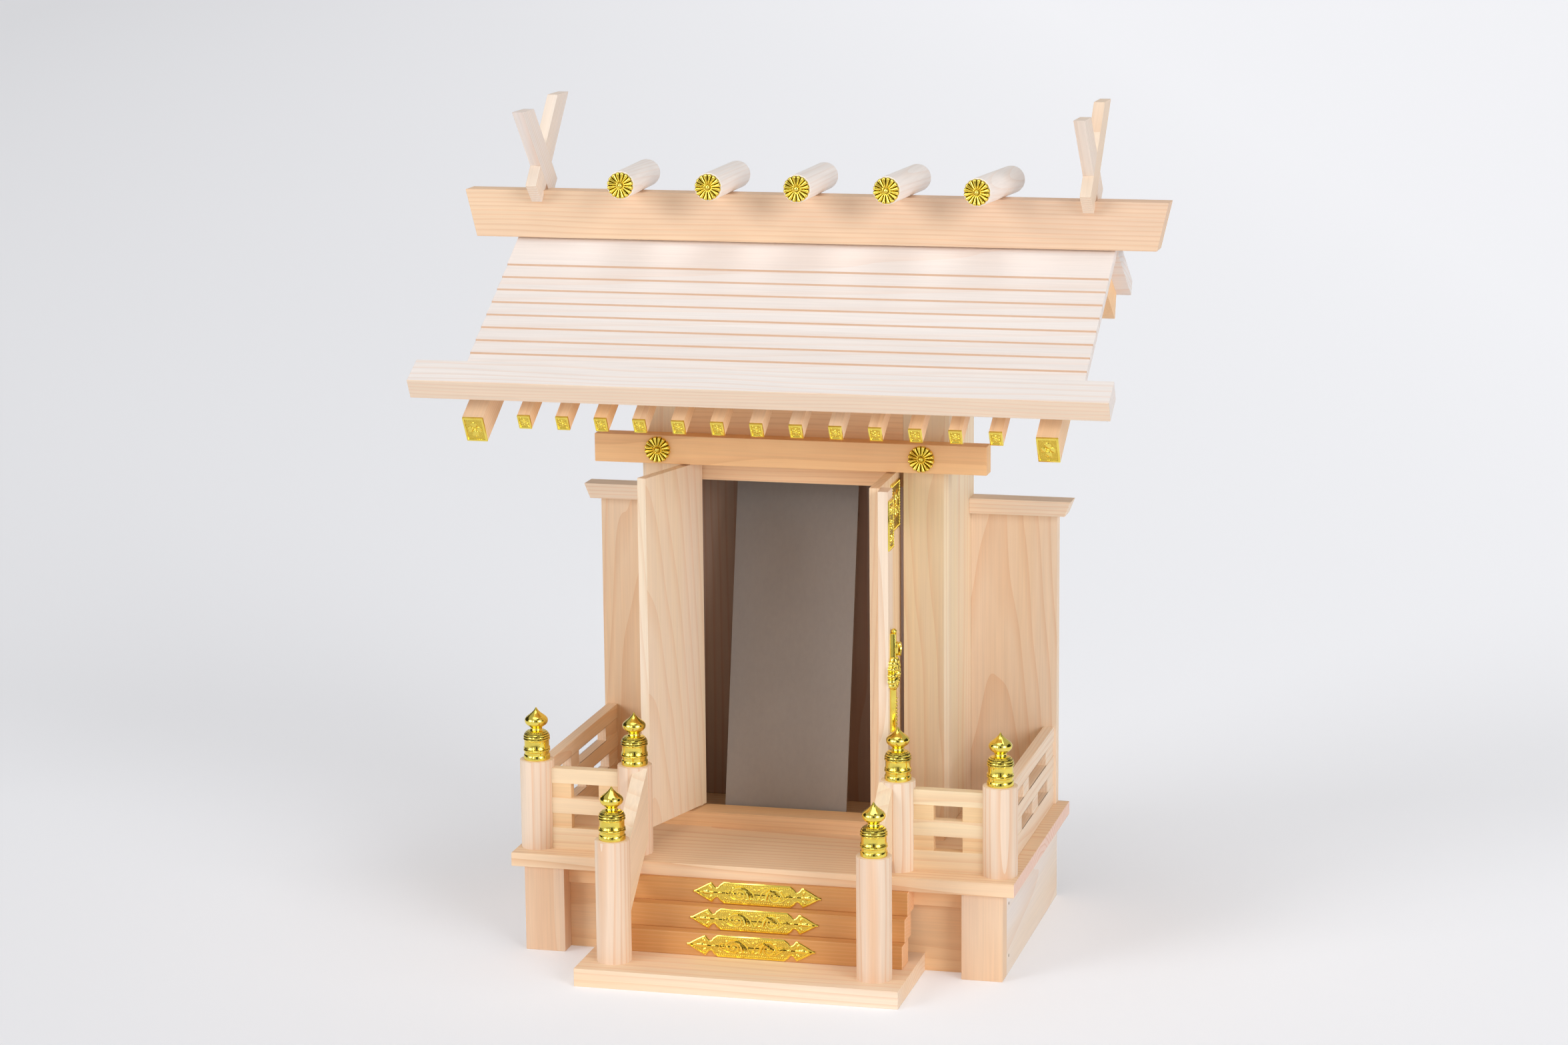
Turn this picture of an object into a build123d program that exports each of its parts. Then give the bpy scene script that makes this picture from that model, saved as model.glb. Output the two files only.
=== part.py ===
from build123d import *
import math
import os

# Household Shinto altar in plain wood with gold fittings.
# Millimetres, +Z up, +Y to the back, X = 0 on the plane of symmetry.
# It is laid out from the front face of the front legs (y = 0). Every piece is moved
# at the end, so that the middle of the whole footprint stands on the origin.

# Deck, the board that everything above stands on
DECK_WIDTH = 273.0
DECK_DEPTH = 164.0
DECK_THICK = 7.4
DECK_NOSE = 2.9

# Base under the deck
LEG_HEIGHT = 46.8
LEG_WIDTH = 21.9
LEG_THICK = 11.2
LEG_INSET = 6.5
PANEL_THICK = 8.0
PANEL_INSET = 2.5
APRON_THICK = 2.8
APRON_HEIGHT = 10.5
BASE_REACH = 54.9
BASE_THICK = 9.6

# Stair bars and their gold plates
STEP_COUNT = 3
STEP_INSET = 5.4
STEP_DEPTH = 14.3
STEP_GOING = 6.9
PLATE_LENGTH = 69.2
PLATE_STRAIGHT = 38.0
PLATE_MARGIN = 0.5
PLATE_THICK = 0.8

# Round newel posts and their onion finials
NEWEL_DIAMETER = 18.4
NEWEL_PROUD = 4.1
NEWEL_INSET = 16.3
CORNER_INSET = 10.5
FOOT_NEWEL_HEIGHT = 65.7
FOOT_NEWEL_INSET = 19.1
FOOT_NEWEL_SIDE = 16.6
FOOT_NEWEL_SPREAD = 14.8
INNER_NEWEL_SHIFT = 1.8
FINIAL_DIAMETER = 14.2
DRUM_HEIGHT = 14.0
SHOULDER_HEIGHT = 2.2
NECK_DIAMETER = 6.0
ONION_DIAMETER = 12.5
ONION_BELLY = 5.2
ONION_POINT = 7.0

# Balustrade: three rails held apart by small blocks
RAIL_THICK = 6.0
LOW_RAIL = 11.5
MIDDLE_RAIL = 8.6
TOP_RAIL = 8.1
RAIL_SPACE = 8.0
BLOCK_RECESS = 0.4
FRONT_BLOCK = 10.3
SIDE_BLOCK = 15.0
UPPER_BLOCK_PLACE = 73.0
LOWER_BLOCK_NEAR = 46.0
LOWER_BLOCK_FAR = 93.0
UPPER_END_BLOCK = 22.0
LOWER_END_BLOCK = 17.0

# Sloping stair banisters
BANISTER_THICK = 7.6
BANISTER_HEIGHT = 38.9
BANISTER_OFFSET = 4.1
BANISTER_DROP_TOP = 2.9
BANISTER_DROP_FOOT = 1.9
BANISTER_LET = 3.0

# Body: front boards beside the doorway, side walls and back wall
BODY_HEIGHT = 282.5
DOORWAY_WIDTH = 120.4
JAMB_WIDTH = 24.3
DOOR_LANDING = 2.2
JAMB_CHAMFER = 2.2
WALL_SETBACK = 2.5
WALL_THICK = 5.0
BACK_THICK = 6.0

# Sill, and header with the door stop
SILL_HEIGHT = 7.9
SILL_REACH = 10.7
STOP_DEPTH = 11.4
STOP_THICK = 2.8

# Door leaves, which turn on wooden pins
LEAF_HEIGHT = 191.0
LEAF_THICK = 5.2
LEAF_SETBACK = 0.4
LEAF_BACK = 3.4
LEAF_EDGE_RELIEF = 1.2
FOOT_GAP = 0.9
HEAD_GAP = 0.8
SIDE_GAP = 0.9
TURN_GAP = 0.4
MEETING_GAP = 0.6
PIN_DIAMETER = 3.0
PIN_LENGTH = 4.0
PIN_CLEARANCE = 0.25
PIN_END_GAP = 0.6
LEFT_OPEN_ANGLE = 106.2
RIGHT_OPEN_ANGLE = 91.2

# Meeting strip, lock and plates on the right leaf
STRIP_WIDTH = 12.0
STRIP_THICK = 6.0
STRIP_RELIEF = 0.5
FITTING_THICK = 0.8
LOCK_HEIGHT = 93.0
LOCK_DIAMETER = 18.0
LOCK_THICK = 4.4
BOLT_WIDTH = 4.4
BOLT_THICK = 3.0
BOLT_LENGTH = 56.0
BOLT_DROP = 4.0
TOP_PLATE_LENGTH = 26.5
TOP_PLATE_DROP = 5.5
HINGE_PLATE_WIDTH = 22.0
HINGE_PLATE_HEIGHT = 26.0
HINGE_PLATE_DROP = 4.0
HINGE_PLATE_INSET = 3.0

# Wing walls beside the body
WING_THICK = 7.0
WING_HEIGHT = 164.1
WING_INSET = 1.1
WING_LAP = 4.4
WING_CAP_HEIGHT = 8.3
WING_CAP_NOSE = 5.5
WING_CAP_REACH = 4.9
WING_CAP_FLARE = 3.4

# Beam across the front, with two rosettes
BEAM_OVERHANG = 23.1
BEAM_HEIGHT = 15.4
BEAM_THICK = 10.7
ROSETTE_DIAMETER = 14.0
ROSETTE_THICK = 1.5
ROSETTE_CENTRE = 2.4
ROSETTE_RISE = 0.8
PETAL_COUNT = 16
PETAL_NOTCH = 0.07

# Roof boards
ROOF_LENGTH = 332.0
FRONT_PITCH = 30.4
REAR_PITCH = 31.9
FRONT_RUN = 120.6
REAR_RUN = 48.6
APEX_SETBACK = 53.7
FRONT_BOARD = 5.2
REAR_BOARD = 8.3
ROOF_STEPS = 8
ROOF_STEP_GOING = 9.4
ROOF_STEP_RISE = 0.9
ROOF_STEP_LAST = 30.8

# Eave board along the front edge of the roof, with a lip that rests on the roof
EAVE_OVERHANG = 19.2
EAVE_WIDTH = 18.4
EAVE_THICK = 11.5
EAVE_TILT = 27.6
EAVE_RAISE = 5.1
EAVE_SHIFT = 1.4
LIP_LENGTH = 16.0
LIP_THICK = 2.8

# Rafters and their gold end caps
RAFTER_COUNT = 13
RAFTER_SPACING = 20.9
RAFTER_WIDTH = 6.9
RAFTER_HEIGHT = 8.6
RAFTER_REACH = 11.0
RAFTER_STOP = 5.2
GABLE_RAFTER_INSET = 13.6
GABLE_RAFTER_WIDTH = 11.4
GABLE_RAFTER_HEIGHT = 15.6
GABLE_RAFTER_REACH = 13.8
GABLE_REAR_HEIGHT = 13.5
GABLE_REAR_STOP = 5.8
GABLE_REAR_CUT = 4.0
END_CAP_THICK = 1.2

# Ridge beam and the logs bedded in it
RIDGE_OVERHANG = 22.7
RIDGE_FLARE = 6.1
RIDGE_HEIGHT = 25.8
RIDGE_THICK = 14.0
RIDGE_SHIFT = 6.7
RIDGE_SEAT = 5.4
LOG_SPACING = 48.8
LOG_DIAMETER = 15.0
LOG_LENGTH = 68.0
LOG_REACH = 27.5
LOG_BED = 0.6
LOG_ROUND = 5.0
LOG_TURNS = (3.2, 0.7, 0.0, -2.8, -5.6)

# Crossed finials: two bars halved into each other and notched over the ridge beam
CROSS_INSET = 13.4
CROSS_RISE = 14.1
CROSS_SHIFT = 1.6
CROSS_ANGLE = 47.0
BAR_WIDTH = 14.7
BAR_THICK = 6.0
BAR_TAIL = 20.6
FRONT_BAR_RISE = 31.8
REAR_BAR_RISE = 35.8

# Blank paper talisman, which stands behind the sill and leans on the back wall
CARD_WIDTH = 68.4
CARD_LENGTH = 245.0
CARD_THICK = 1.2
CARD_LEAN = 11.1
CARD_GAP = 0.3
CARD_SHIFT = 8.0

# Half widths, from the plane of symmetry outwards
doorway_half = DOORWAY_WIDTH / 2
body_half = doorway_half + JAMB_WIDTH
wall_outer = body_half - WALL_SETBACK
wall_inner = wall_outer - WALL_THICK
hinge_sweep = math.hypot(LEAF_BACK, LEAF_THICK / 2)
hinge_x = doorway_half - hinge_sweep - SIDE_GAP
leaf_reach = hinge_x - MEETING_GAP / 2
foot_x = hinge_x + FOOT_NEWEL_SPREAD
inner_x = foot_x + INNER_NEWEL_SHIFT
base_half = foot_x + FOOT_NEWEL_SIDE
step_half = base_half - STEP_INSET
deck_half = DECK_WIDTH / 2
corner_x = deck_half - CORNER_INSET
leg_outer = deck_half - LEG_INSET
leg_inner = leg_outer - LEG_WIDTH
panel_inner = leg_outer - PANEL_THICK
roof_half = ROOF_LENGTH / 2
gable_x = roof_half - GABLE_RAFTER_INSET
cross_x = roof_half - CROSS_INSET

# Levels, from the ground up
deck_top = LEG_HEIGHT + DECK_THICK
middle_rail_low = deck_top + LOW_RAIL + RAIL_SPACE
top_rail_low = middle_rail_low + MIDDLE_RAIL + RAIL_SPACE
newel_top = top_rail_low + TOP_RAIL + NEWEL_PROUD
foot_newel_top = BASE_THICK + FOOT_NEWEL_HEIGHT
sill_top = deck_top + SILL_HEIGHT
leaf_low = sill_top + FOOT_GAP
leaf_top = leaf_low + LEAF_HEIGHT
header_low = leaf_top + HEAD_GAP
wing_top = deck_top + WING_HEIGHT

# Lines from the front to the back
deck_front = -DECK_NOSE
deck_back = deck_front + DECK_DEPTH
panel_back = deck_back - PANEL_INSET
apron_front = LEG_THICK - APRON_THICK
rail_line = deck_front + NEWEL_INSET
foot_line = FOOT_NEWEL_INSET - BASE_REACH
body_front = rail_line + NEWEL_DIAMETER / 2 + leaf_reach + DOOR_LANDING
leaf_front = body_front + LEAF_SETBACK
leaf_line = leaf_front + LEAF_THICK / 2
stop_front = leaf_line + hinge_sweep + TURN_GAP
jamb_back = stop_front + STOP_THICK
sill_back = leaf_line + LEAF_THICK / 2 + TURN_GAP
card_foot = sill_back + CARD_GAP
lean = math.radians(CARD_LEAN)
back_front = card_foot + CARD_LENGTH * math.sin(lean) + CARD_THICK * math.cos(lean) + CARD_GAP
wing_back = deck_back - WING_INSET
wing_front = wing_back - WING_THICK
apex_y = body_front + APEX_SETBACK
roof_front = apex_y - FRONT_RUN
roof_back = apex_y + REAR_RUN
ridge_middle = apex_y - RIDGE_SHIFT
ridge_front = ridge_middle - RIDGE_THICK / 2
centre_y = (roof_back - BASE_REACH) / 2

# The roof seen from the side
front_slope = math.radians(FRONT_PITCH)
rear_slope = math.radians(REAR_PITCH)
front_drop = FRONT_BOARD / math.cos(front_slope)
rear_drop = REAR_BOARD / math.cos(rear_slope)
apex_z = deck_top + BODY_HEIGHT + front_drop + APEX_SETBACK * math.tan(front_slope)
ridge_low = apex_z - RIDGE_SEAT
ridge_top = ridge_low + RIDGE_HEIGHT


def front_top(y):
    """Height of the front roof's upper face."""
    return apex_z - (apex_y - y) * math.tan(front_slope)


def front_under(y):
    """Height of the front roof's lower face."""
    return front_top(y) - front_drop


def rear_top(y):
    """Height of the rear roof's upper face."""
    return apex_z - (y - apex_y) * math.tan(rear_slope)


def rear_under(y):
    """Height of the rear roof's lower face."""
    return rear_top(y) - rear_drop


# The line where the lower faces of the two roof boards meet
valley_y = apex_y + (front_drop - rear_drop) / (math.tan(front_slope) + math.tan(rear_slope))
valley = (valley_y, front_under(valley_y))


def block(x0, x1, y0, y1, z0, z1):
    """Straight board between two corners."""
    middle = ((x0 + x1) / 2, (y0 + y1) / 2, (z0 + z1) / 2)
    return Pos(*middle) * Box(x1 - x0, y1 - y0, z1 - z0)


def board_x(outline, x0, x1):
    """Board with a side outline of (y, z) corners, running from x0 to x1."""
    face = Plane.YZ.offset(x0) * Polygon(*outline, align=None)
    return extrude(face, amount=x1 - x0, dir=(1, 0, 0))


def board_y(outline, y0, y1):
    """Board with a front outline of (x, z) corners, running from y0 to y1."""
    face = Plane.XZ.offset(-y0) * Polygon(*outline, align=None)
    return extrude(face, amount=y1 - y0, dir=(0, 1, 0))


def upright(x, y, diameter, low, top):
    """Round post or pin standing at (x, y)."""
    post = Cylinder(diameter / 2, top - low, align=(Align.CENTER, Align.CENTER, Align.MIN))
    return Pos(x, y, low) * post


def pair(piece):
    """The mirror image of a piece, and the piece itself."""
    return [mirror(piece, about=Plane.YZ), piece]


def largest(shape):
    """The main solid that is left after a cut."""
    return shape.solids().sort_by(SortBy.VOLUME)[-1]


def save(name, shapes):
    """Write one node, made of one or more solids that do not touch."""
    solids = shapes if isinstance(shapes, list) else [shapes]
    moved = [Pos(0, -centre_y, 0) * solid for solid in solids]
    piece = moved[0] if len(moved) == 1 else Compound(children=moved)
    piece.label = name
    export_step(piece, "parts/" + name + ".step")


os.makedirs("parts", exist_ok=True)

# Base and deck
save("base_board", block(-base_half, base_half, -BASE_REACH, LEG_THICK, 0, BASE_THICK))
save("front_legs", pair(block(leg_inner, leg_outer, 0, LEG_THICK, 0, LEG_HEIGHT)))
save("base_side_panels", pair(block(panel_inner, leg_outer, LEG_THICK, panel_back, 0, LEG_HEIGHT)))
save("recess_panel", block(-panel_inner, panel_inner, LEG_THICK, LEG_THICK + PANEL_THICK,
                           0, LEG_HEIGHT))
save("recess_rail", block(-leg_inner, leg_inner, apron_front, LEG_THICK,
                          LEG_HEIGHT - APRON_HEIGHT, LEG_HEIGHT))
save("base_back_panel", block(-panel_inner, panel_inner, panel_back - PANEL_THICK, panel_back,
                              0, LEG_HEIGHT))
save("deck_board", block(-deck_half, deck_half, deck_front, deck_back, LEG_HEIGHT, deck_top))

# Stair: each bar is set back on the one below and carries a gold plate on its riser
step_height = (LEG_HEIGHT - BASE_THICK) / STEP_COUNT


def step_front(number):
    """Front face of a bar, counted from the ground."""
    return apron_front - STEP_DEPTH - STEP_GOING * (STEP_COUNT - 1 - number)


def step_bar(number):
    front = step_front(number)
    low = BASE_THICK + step_height * number
    return block(-step_half, step_half, front, front + STEP_DEPTH, low, low + step_height)


def step_plate(number):
    """Riser plate: a straight middle, then a waist, two barbs and a point at each end."""
    half = (step_height - PLATE_MARGIN) / 2
    shoulder = PLATE_STRAIGHT / 2
    end = PLATE_LENGTH / 2 - shoulder
    corner = (shoulder, half)
    neck = (shoulder + end * 0.10, half * 0.62)
    waist = (shoulder + end * 0.28, half * 0.36)
    barb = (shoulder + end * 0.42, half * 0.92)
    cheek = (shoulder + end * 0.66, half * 0.60)
    stem = (shoulder + end * 0.88, half * 0.17)
    tip = (shoulder + end, half * 0.17)
    rim = Polyline((0, 0), (0, half), corner, neck)
    rim += ThreePointArc(neck, waist, barb)
    rim += ThreePointArc(barb, cheek, stem)
    rim += Polyline(stem, tip, (shoulder + end, 0), (0, 0))
    quarter = make_face(rim)
    right = quarter + mirror(quarter, about=Plane.XZ)
    whole = right + mirror(right, about=Plane.YZ)
    middle = BASE_THICK + step_height * (number + 0.5)
    front = Plane(origin=(0, step_front(number), middle), x_dir=(1, 0, 0), z_dir=(0, -1, 0))
    return extrude(front * whole, amount=PLATE_THICK, dir=(0, -1, 0))


for number, name in enumerate(("step_lower", "step_middle", "step_upper")):
    save(name, step_bar(number))
save("step_plates", [step_plate(number) for number in range(STEP_COUNT)])

# Newel posts: at the deck corners, at the head of the stair and at its foot
corner_newel = upright(corner_x, rail_line, NEWEL_DIAMETER, deck_top, newel_top)
inner_newel = upright(inner_x, rail_line, NEWEL_DIAMETER, deck_top, newel_top)
foot_newel = upright(foot_x, foot_line, NEWEL_DIAMETER, BASE_THICK, foot_newel_top)


def finial(x, y, top):
    """Turned cap: drum, shoulder, neck and an onion that ends in a point."""
    outer = FINIAL_DIAMETER / 2
    neck = NECK_DIAMETER / 2
    belly = ONION_DIAMETER / 2
    throat = DRUM_HEIGHT + SHOULDER_HEIGHT
    widest = throat + ONION_BELLY
    rim = [(0, 0), (outer, 0), (outer, DRUM_HEIGHT), (neck, throat), (belly, widest),
           (0, widest + ONION_POINT)]
    turned = revolve(Plane.XZ * Polygon(*rim, align=None), Axis.Z)
    return Pos(x, y, top) * turned


save("newel_posts", pair(corner_newel) + pair(inner_newel) + pair(foot_newel))
seats = [(corner_x, rail_line, newel_top), (inner_x, rail_line, newel_top),
         (foot_x, foot_line, foot_newel_top)]
save("newel_finials", [finial(side * x, y, top) for x, y, top in seats for side in (-1, 1)])

# Balustrades, housed round the newels
rails = ((deck_top, LOW_RAIL), (middle_rail_low, MIDDLE_RAIL), (top_rail_low, TOP_RAIL))
lower_space = (deck_top + LOW_RAIL, middle_rail_low)
upper_space = (middle_rail_low + MIDDLE_RAIL, top_rail_low)


def front_balustrade():
    """From the newel at the head of the stair to the corner newel, with a block at each end."""
    y0 = rail_line - RAIL_THICK / 2
    y1 = rail_line + RAIL_THICK / 2
    left_block = inner_x + NEWEL_DIAMETER / 2 + FRONT_BLOCK
    right_block = corner_x - NEWEL_DIAMETER / 2 - FRONT_BLOCK
    panel = Part()
    for low, height in rails:
        panel += block(inner_x, corner_x, y0, y1, low, low + height)
    for low, top in (lower_space, upper_space):
        panel += block(inner_x, left_block, y0 + BLOCK_RECESS, y1 - BLOCK_RECESS, low, top)
        panel += block(right_block, corner_x, y0 + BLOCK_RECESS, y1 - BLOCK_RECESS, low, top)
    return largest(panel - inner_newel - corner_newel)


def side_balustrade():
    """From the corner newel to the wing wall, with staggered blocks."""
    x0 = corner_x - RAIL_THICK / 2
    x1 = corner_x + RAIL_THICK / 2
    blocks = [(UPPER_BLOCK_PLACE + SIDE_BLOCK, SIDE_BLOCK, upper_space),
              (UPPER_END_BLOCK, UPPER_END_BLOCK, upper_space),
              (LOWER_BLOCK_NEAR + SIDE_BLOCK, SIDE_BLOCK, lower_space),
              (LOWER_BLOCK_FAR + SIDE_BLOCK, SIDE_BLOCK, lower_space),
              (LOWER_END_BLOCK, LOWER_END_BLOCK, lower_space)]
    panel = Part()
    for low, height in rails:
        panel += block(x0, x1, rail_line, wing_front, low, low + height)
    for place, length, (low, top) in blocks:
        front = wing_front - place
        panel += block(x0 + BLOCK_RECESS, x1 - BLOCK_RECESS, front, front + length, low, top)
    return largest(panel - corner_newel)


def banister():
    """Sloping board from the newel at the head of the stair down to the one at its foot."""
    head_y = rail_line - NEWEL_DIAMETER / 2
    foot_y = foot_line + NEWEL_DIAMETER / 2
    head_z = newel_top - BANISTER_DROP_TOP
    foot_z = foot_newel_top - BANISTER_DROP_FOOT
    slope = (head_z - foot_z) / (head_y - foot_y)
    head = (head_y + BANISTER_LET, head_z + slope * BANISTER_LET)
    foot = (foot_y - BANISTER_LET, foot_z - slope * BANISTER_LET)
    outline = [head, foot, (foot[0], foot[1] - BANISTER_HEIGHT), (head[0], head[1] - BANISTER_HEIGHT)]
    middle = (inner_x + foot_x) / 2 - BANISTER_OFFSET
    board = board_x(outline, middle - BANISTER_THICK / 2, middle + BANISTER_THICK / 2)
    return largest(board - inner_newel - foot_newel)


save("front_balustrades", pair(front_balustrade()))
save("side_balustrades", pair(side_balustrade()))
save("stair_banisters", pair(banister()))

# Roof boards


def front_board():
    """Front roof board with shallow steps cut across its upper face."""
    first = apex_y - ROOF_STEP_LAST - ROOF_STEP_GOING * (ROOF_STEPS - 1)
    upper = [(roof_front, front_top(roof_front) - ROOF_STEP_RISE),
             (first, front_top(first) - ROOF_STEP_RISE)]
    for number in range(ROOF_STEPS):
        riser = first + ROOF_STEP_GOING * number
        upper.append((riser, front_top(riser)))
        if number < ROOF_STEPS - 1:
            following = riser + ROOF_STEP_GOING
            upper.append((following, front_top(following) - ROOF_STEP_RISE))
    foot = roof_front + FRONT_BOARD * math.sin(front_slope)
    outline = upper + [(apex_y, apex_z), (apex_y, front_under(apex_y)), (foot, front_under(foot))]
    return board_x(outline, -roof_half, roof_half)


def rear_board():
    """Short rear roof board, its lower end cut square to the slope."""
    foot = roof_back - REAR_BOARD * math.sin(rear_slope)
    outline = [(apex_y, apex_z), (roof_back, rear_top(roof_back)), (foot, rear_under(foot)),
               (apex_y, rear_under(apex_y))]
    return board_x(outline, -roof_half, roof_half)


def eave_board():
    """Heavy eave board, held above the roof's edge by a lip that rests on the roof."""
    edge_y = roof_front
    edge_z = front_top(roof_front) - ROOF_STEP_RISE

    def on_slope(along, out):
        return (edge_y + along * math.cos(front_slope) - out * math.sin(front_slope),
                edge_z + along * math.sin(front_slope) + out * math.cos(front_slope))

    tilt = math.radians(EAVE_TILT)
    heel = on_slope(EAVE_SHIFT, EAVE_RAISE)
    toe = (heel[0] - EAVE_WIDTH * math.cos(tilt), heel[1] - EAVE_WIDTH * math.sin(tilt))
    rise = (-EAVE_THICK * math.sin(tilt), EAVE_THICK * math.cos(tilt))
    bar = board_x([heel, toe, (toe[0] + rise[0], toe[1] + rise[1]), (heel[0] + rise[0], heel[1] + rise[1])],
                  -roof_half - EAVE_OVERHANG, roof_half + EAVE_OVERHANG)
    lip = board_x([on_slope(0, 0), on_slope(LIP_LENGTH, 0), on_slope(LIP_LENGTH - LIP_THICK, LIP_THICK),
                   on_slope(EAVE_SHIFT, EAVE_RAISE + LIP_THICK), on_slope(-LIP_THICK, EAVE_RAISE + LIP_THICK)],
                  -roof_half, roof_half)
    return bar + lip


front_roof = front_board()
rear_roof = rear_board()
save("front_roof", front_roof)
save("rear_roof", rear_roof)
save("eave_fascia", eave_board())

# Body walls under the roof


def jamb():
    """Front board beside the doorway, its outer front corner chamfered."""
    side = [(body_front, deck_top), (jamb_back, deck_top), (jamb_back, front_under(jamb_back)),
            (body_front, front_under(body_front))]
    board = board_x(side, doorway_half, body_half)
    corner = board.edges().filter_by(Axis.Z).group_by(Axis.Y)[0].sort_by(Axis.X)[-1]
    return chamfer(corner, JAMB_CHAMFER)


side_line = [(jamb_back, deck_top), (deck_back, deck_top), (deck_back, rear_under(deck_back)),
             valley, (jamb_back, front_under(jamb_back))]
back_rear = back_front + BACK_THICK
back_line = [(back_front, deck_top), (back_rear, deck_top), (back_rear, rear_under(back_rear)),
             (back_front, rear_under(back_front))]
save("front_jambs", pair(jamb()))
save("body_side_walls", pair(board_x(side_line, wall_inner, wall_outer)))
save("body_back_wall", board_x(back_line, -wall_inner, wall_inner))

# Sill and header, each with a blind hole for every door pin
sill = block(-body_half, body_half, body_front - SILL_REACH, body_front, deck_top, sill_top)
sill += block(-doorway_half, doorway_half, body_front, sill_back, deck_top, sill_top)
header = board_x([(body_front, header_low), (stop_front, header_low), (stop_front, header_low - STOP_DEPTH),
                  (jamb_back, header_low - STOP_DEPTH), (jamb_back, front_under(jamb_back)),
                  (body_front, front_under(body_front))], -doorway_half, doorway_half)
hole = PIN_DIAMETER + 2 * PIN_CLEARANCE
pin_low = leaf_low - PIN_LENGTH
pin_top = leaf_top + PIN_LENGTH
for x in (-hinge_x, hinge_x):
    sill -= upright(x, leaf_line, hole, pin_low - PIN_END_GAP, leaf_low)
    header -= upright(x, leaf_line, hole, leaf_top, pin_top + PIN_END_GAP)
save("door_sill", sill)
save("door_header", header)

# The right leaf and its fittings, drawn closed
leaf_back = leaf_front + LEAF_THICK
leaf = block(hinge_x - leaf_reach, hinge_x + LEAF_BACK, leaf_front, leaf_back, leaf_low, leaf_top)
hinge_edges = leaf.edges().filter_by(Axis.Z).group_by(Axis.X)[-1]
leaf = chamfer(hinge_edges, LEAF_EDGE_RELIEF)
leaf += upright(hinge_x, leaf_line, PIN_DIAMETER, pin_low, pin_top)

strip_front = leaf_front - STRIP_THICK
strip = block(-STRIP_WIDTH / 2, STRIP_WIDTH / 2, strip_front, leaf_front,
              leaf_low + STRIP_RELIEF, leaf_top - STRIP_RELIEF)
strip -= block(-STRIP_WIDTH / 2, MEETING_GAP / 2, leaf_front - STRIP_RELIEF, leaf_front, leaf_low, leaf_top)

lock_z = leaf_low + LOCK_HEIGHT
bolt_z = lock_z - BOLT_DROP
facing = Plane(origin=(0, strip_front, lock_z), x_dir=(1, 0, 0), z_dir=(0, -1, 0))
lock = extrude(facing * Circle(LOCK_DIAMETER / 2), amount=LOCK_THICK, dir=(0, -1, 0))
lock += block(-BOLT_WIDTH / 2, BOLT_WIDTH / 2, strip_front - BOLT_THICK, strip_front,
              bolt_z - BOLT_LENGTH / 2, bolt_z + BOLT_LENGTH / 2)

top_plate_z = leaf_top - TOP_PLATE_DROP
top_plate = block(-STRIP_WIDTH / 2, STRIP_WIDTH / 2, strip_front - FITTING_THICK, strip_front,
                  top_plate_z - TOP_PLATE_LENGTH, top_plate_z)
hinge_plate_x = hinge_x - HINGE_PLATE_INSET
hinge_plate_z = leaf_top - HINGE_PLATE_DROP
hinge_plate = block(hinge_plate_x - HINGE_PLATE_WIDTH, hinge_plate_x, leaf_front - FITTING_THICK, leaf_front,
                    hinge_plate_z - HINGE_PLATE_HEIGHT, hinge_plate_z)


def swing(shape, x, angle):
    """Turn a piece of a leaf about the pins at x."""
    return Pos(x, leaf_line, 0) * Rot(0, 0, angle) * Pos(-x, -leaf_line, 0) * shape


save("left_door", swing(mirror(leaf, about=Plane.YZ), -hinge_x, -LEFT_OPEN_ANGLE))
save("right_door", swing(leaf, hinge_x, RIGHT_OPEN_ANGLE))
save("door_astragal", swing(strip, hinge_x, RIGHT_OPEN_ANGLE))
save("door_lock", swing(lock, hinge_x, RIGHT_OPEN_ANGLE))
save("right_door_plates", [swing(plate, hinge_x, RIGHT_OPEN_ANGLE) for plate in (top_plate, hinge_plate)])

# Wing walls and their flared caps
wing_outer = corner_x + WING_LAP
cap_top = wing_top + WING_CAP_HEIGHT
cap_reach = wing_outer + WING_CAP_REACH
wing_cap = board_y([(wall_outer, wing_top), (cap_reach, wing_top), (cap_reach + WING_CAP_FLARE, cap_top),
                    (wall_outer, cap_top)], wing_front - WING_CAP_NOSE, deck_back)
save("wing_walls", pair(block(wall_outer, wing_outer, wing_front, wing_back, deck_top, wing_top)))
save("wing_caps", pair(wing_cap))

# Beam across the front
beam_half = body_half + BEAM_OVERHANG
beam_front = body_front - BEAM_THICK
save("front_beam", block(-beam_half, beam_half, beam_front, body_front, header_low, header_low + BEAM_HEIGHT))


def rosette():
    """Chrysanthemum boss facing the front, its petals as scallops round the rim."""
    rim = []
    for number in range(PETAL_COUNT * 2):
        turn = number * math.pi / PETAL_COUNT
        reach = ROSETTE_DIAMETER / 2 * (1 - PETAL_NOTCH * (number % 2))
        rim.append((reach * math.cos(turn), reach * math.sin(turn)))
    disc = extrude(Polygon(*rim, align=None), amount=ROSETTE_THICK, dir=(0, 0, 1))
    boss = RegularPolygon(ROSETTE_CENTRE / 2, PETAL_COUNT)
    disc += extrude(boss, amount=ROSETTE_THICK + ROSETTE_RISE, dir=(0, 0, 1))
    return Rot(90, 0, 0) * disc


rosette_x = (doorway_half + body_half) / 2
rosette_z = header_low + BEAM_HEIGHT / 2
save("beam_rosettes", [Pos(side * rosette_x, beam_front, rosette_z) * rosette() for side in (-1, 1)])

# Rafters under the front roof, each with a gold cap on its end


def rafter_end(top_y, height):
    """Upper and lower corners of a rafter's front end, cut square to the slope."""
    low = (top_y + height * math.sin(front_slope), front_under(top_y) - height * math.cos(front_slope))
    return (top_y, front_under(top_y)), low


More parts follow.
